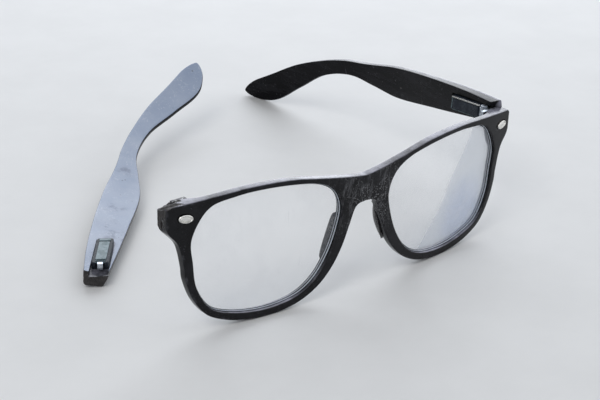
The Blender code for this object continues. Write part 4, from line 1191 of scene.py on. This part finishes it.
def studio():
    """A pale floor, a pale sky all round and three soft lamps."""
    pale = bpy.data.materials.new("pale floor")
    pale.use_nodes = True
    shader = pale.node_tree.nodes["Principled BSDF"]
    shader.inputs["Roughness"].default_value = 0.75
    place = pale.node_tree.nodes.new("ShaderNodeTexCoord").outputs["Object"]
    soft = band(pale.node_tree, noise_of(pale.node_tree, place, 30.0, 6.0, 0.6), 0.3, 0.7)
    colour = mix_colour(pale.node_tree, soft, (0.755, 0.755, 0.75), (0.785, 0.785, 0.78))
    pale.node_tree.links.new(colour, shader.inputs["Base Color"])
    size = 4.0
    corners = ((-size, -size), (size, -size), (size, size), (-size, size))
    make("floor", [Vector((x, y, 0.0)) for x, y in corners], [(0, 1, 2, 3)], pale)

    world = bpy.data.worlds.new("pale sky")
    bpy.context.scene.world = world
    world.use_nodes = True
    tree = world.node_tree
    sky = tree.nodes["Background"]
    sky.inputs["Color"].default_value = (0.90, 0.94, 1.0, 1.0)
    sky.inputs["Strength"].default_value = 0.40
    seen = put(tree, "ShaderNodeBackground", None, Color=(0.86, 0.87, 0.90, 1.0), Strength=1.0)
    path = tree.nodes.new("ShaderNodeLightPath")
    both = put(tree, "ShaderNodeMixShader")
    direct = maths(tree, "MAXIMUM", path.outputs["Is Camera Ray"], path.outputs["Is Glossy Ray"])
    direct = maths(tree, "MAXIMUM", direct, path.outputs["Is Transmission Ray"])
    tree.links.new(direct, both.inputs[0])
    tree.links.new(sky.outputs[0], both.inputs[1])
    tree.links.new(seen.outputs[0], both.inputs[2])
    tree.links.new(both.outputs[0], tree.nodes["World Output"].inputs[0])

    for name, spot, aim, size, power, colour in (
            ("back sky", (0.68, 0.82, 0.52), (0.0, 0.0, 0.0), 1.2, 13.0, (0.90, 0.94, 1.0)),
            ("key", (-0.75, -0.35, 0.9), (0.0, 0.0, 0.0), 0.5, 3.2, (1.0, 0.98, 0.95)),
            ("fill", (0.8, -0.5, 0.5), (0.0, 0.0, 0.02), 0.8, 1.4, (0.95, 0.97, 1.0))):
        lamp = bpy.data.lights.new(name, "AREA")
        lamp.energy, lamp.size, lamp.color = power, size, colour
        holder = linked(name, lamp)
        holder.location = spot
        holder.rotation_mode = "QUATERNION"
        holder.rotation_quaternion = (Vector(aim) - Vector(spot)).to_track_quat("-Z", "Y")


def photograph_camera():
    """The photograph's place, tilt and roll. The numbers suit a frame of 600 by 400."""
    heading, pitch, roll = 0.7192, 0.4324, 0.0547
    focal_pixels, frame_width = 1594.9, 600
    ahead = Vector((sin(heading) * cos(pitch), cos(heading) * cos(pitch), -sin(pitch)))
    right = Vector((cos(heading), -sin(heading), 0.0))
    up = Vector((sin(heading) * sin(pitch), cos(heading) * sin(pitch), cos(pitch)))
    right, up = right * cos(roll) + up * sin(roll), up * cos(roll) - right * sin(roll)
    place = Vector((-321.06 + SHIFT_X, -333.74 + SHIFT_Y, 243.3)) * MM
    data = bpy.data.cameras.new("camera")
    data.sensor_width = 36.0
    data.lens = focal_pixels * data.sensor_width / frame_width
    data.clip_start, data.clip_end = 0.01, 30.0
    camera = linked("camera", data)
    turn = Matrix((right, up, -ahead)).transposed()
    camera.matrix_world = Matrix.Translation(place) @ turn.to_4x4()
    bpy.context.scene.camera = camera


# Put together

BLACK, PAD, TORN = black_plastic(), pad_plastic(), torn_plastic()
ARM, HAZE_AND_SHEEN = arm_plastic(), haze_and_sheen_plastic()
GLASS, GROUND_EDGE_AND_GLINT = lens_glass(), lens_edge()
BRIGHT = metal("plaque metal", (0.80, 0.79, 0.76), (0.42, 0.42, 0.41), 0.20, 0.02)
STEEL = metal("hinge metal", (0.40, 0.44, 0.49), (0.16, 0.18, 0.21), 0.34, 0.08)
DULL = metal("dulled leaf metal", (0.085, 0.085, 0.09), (0.03, 0.03, 0.035), 0.6, 0.08)
CASE = case_shell_metal()
PLATE = case_plate_metal()

shell = front_shell(BLACK)
add_pad(shell, 1, PAD)
add_pad(shell, -1, PAD)
add_plaque(shell, 1, "corner_plaque_left", "front", "plaque_left", BLACK, BRIGHT)
add_plaque(shell, -1, "corner_plaque_right", "front", "plaque_right", BLACK, BRIGHT)
square_endpiece(shell, BLACK)
leaf_seat(shell, 1, BLACK)
leaf_seat(shell, -1, BLACK)
tear_corner(shell, TORN)
finish_piece(shell, "front", "black_plastic", "front_frame")

add_lens(1, "clear_lens_left", "front", "lens_left", GLASS, GROUND_EDGE_AND_GLINT)
add_lens(-1, "clear_lens_right", "front", "lens_right", GLASS, GROUND_EDGE_AND_GLINT)
bead = bead_tree()
add_lens_edge(bead, 1, "lens_edge_left", "front", GROUND_EDGE_AND_GLINT)
add_lens_edge(bead, -1, "lens_edge_right", "front", GROUND_EDGE_AND_GLINT)
add_arm("standing_arm", "temple_left", attached, "arm", "black_plastic", ARM, ARM)
add_arm("snapped_arm", "temple_right", loose, "front", "dusty_plastic", HAZE_AND_SHEEN, BLACK, TORN)

coil = spring_tree()
for side, place, body, slide_body in (("left", attached, "arm", "slide"),
                                      ("right", loose, "front", "front")):
    add_case(side, place, body, CASE, PLATE, BRIGHT)
    add_spring(coil, side, place, body, STEEL)
    softened("slide_" + side, "slide_bar_" + side, STEEL, 0.08, slide_body, "hinge_metal")
softened("hinge_leaf_left", "front_leaf_left", STEEL, 0.08, "front", "hinge_metal")
softened("hinge_leaf_right", "torn_leaf_right", DULL, 0.08, "front", "hinge_metal")
softened("hinge_screw_left", "pivot_screw", STEEL, 0.06, "front", "hinge_metal")

studio()
photograph_camera()
bpy.context.scene.view_settings.view_transform = "Standard"
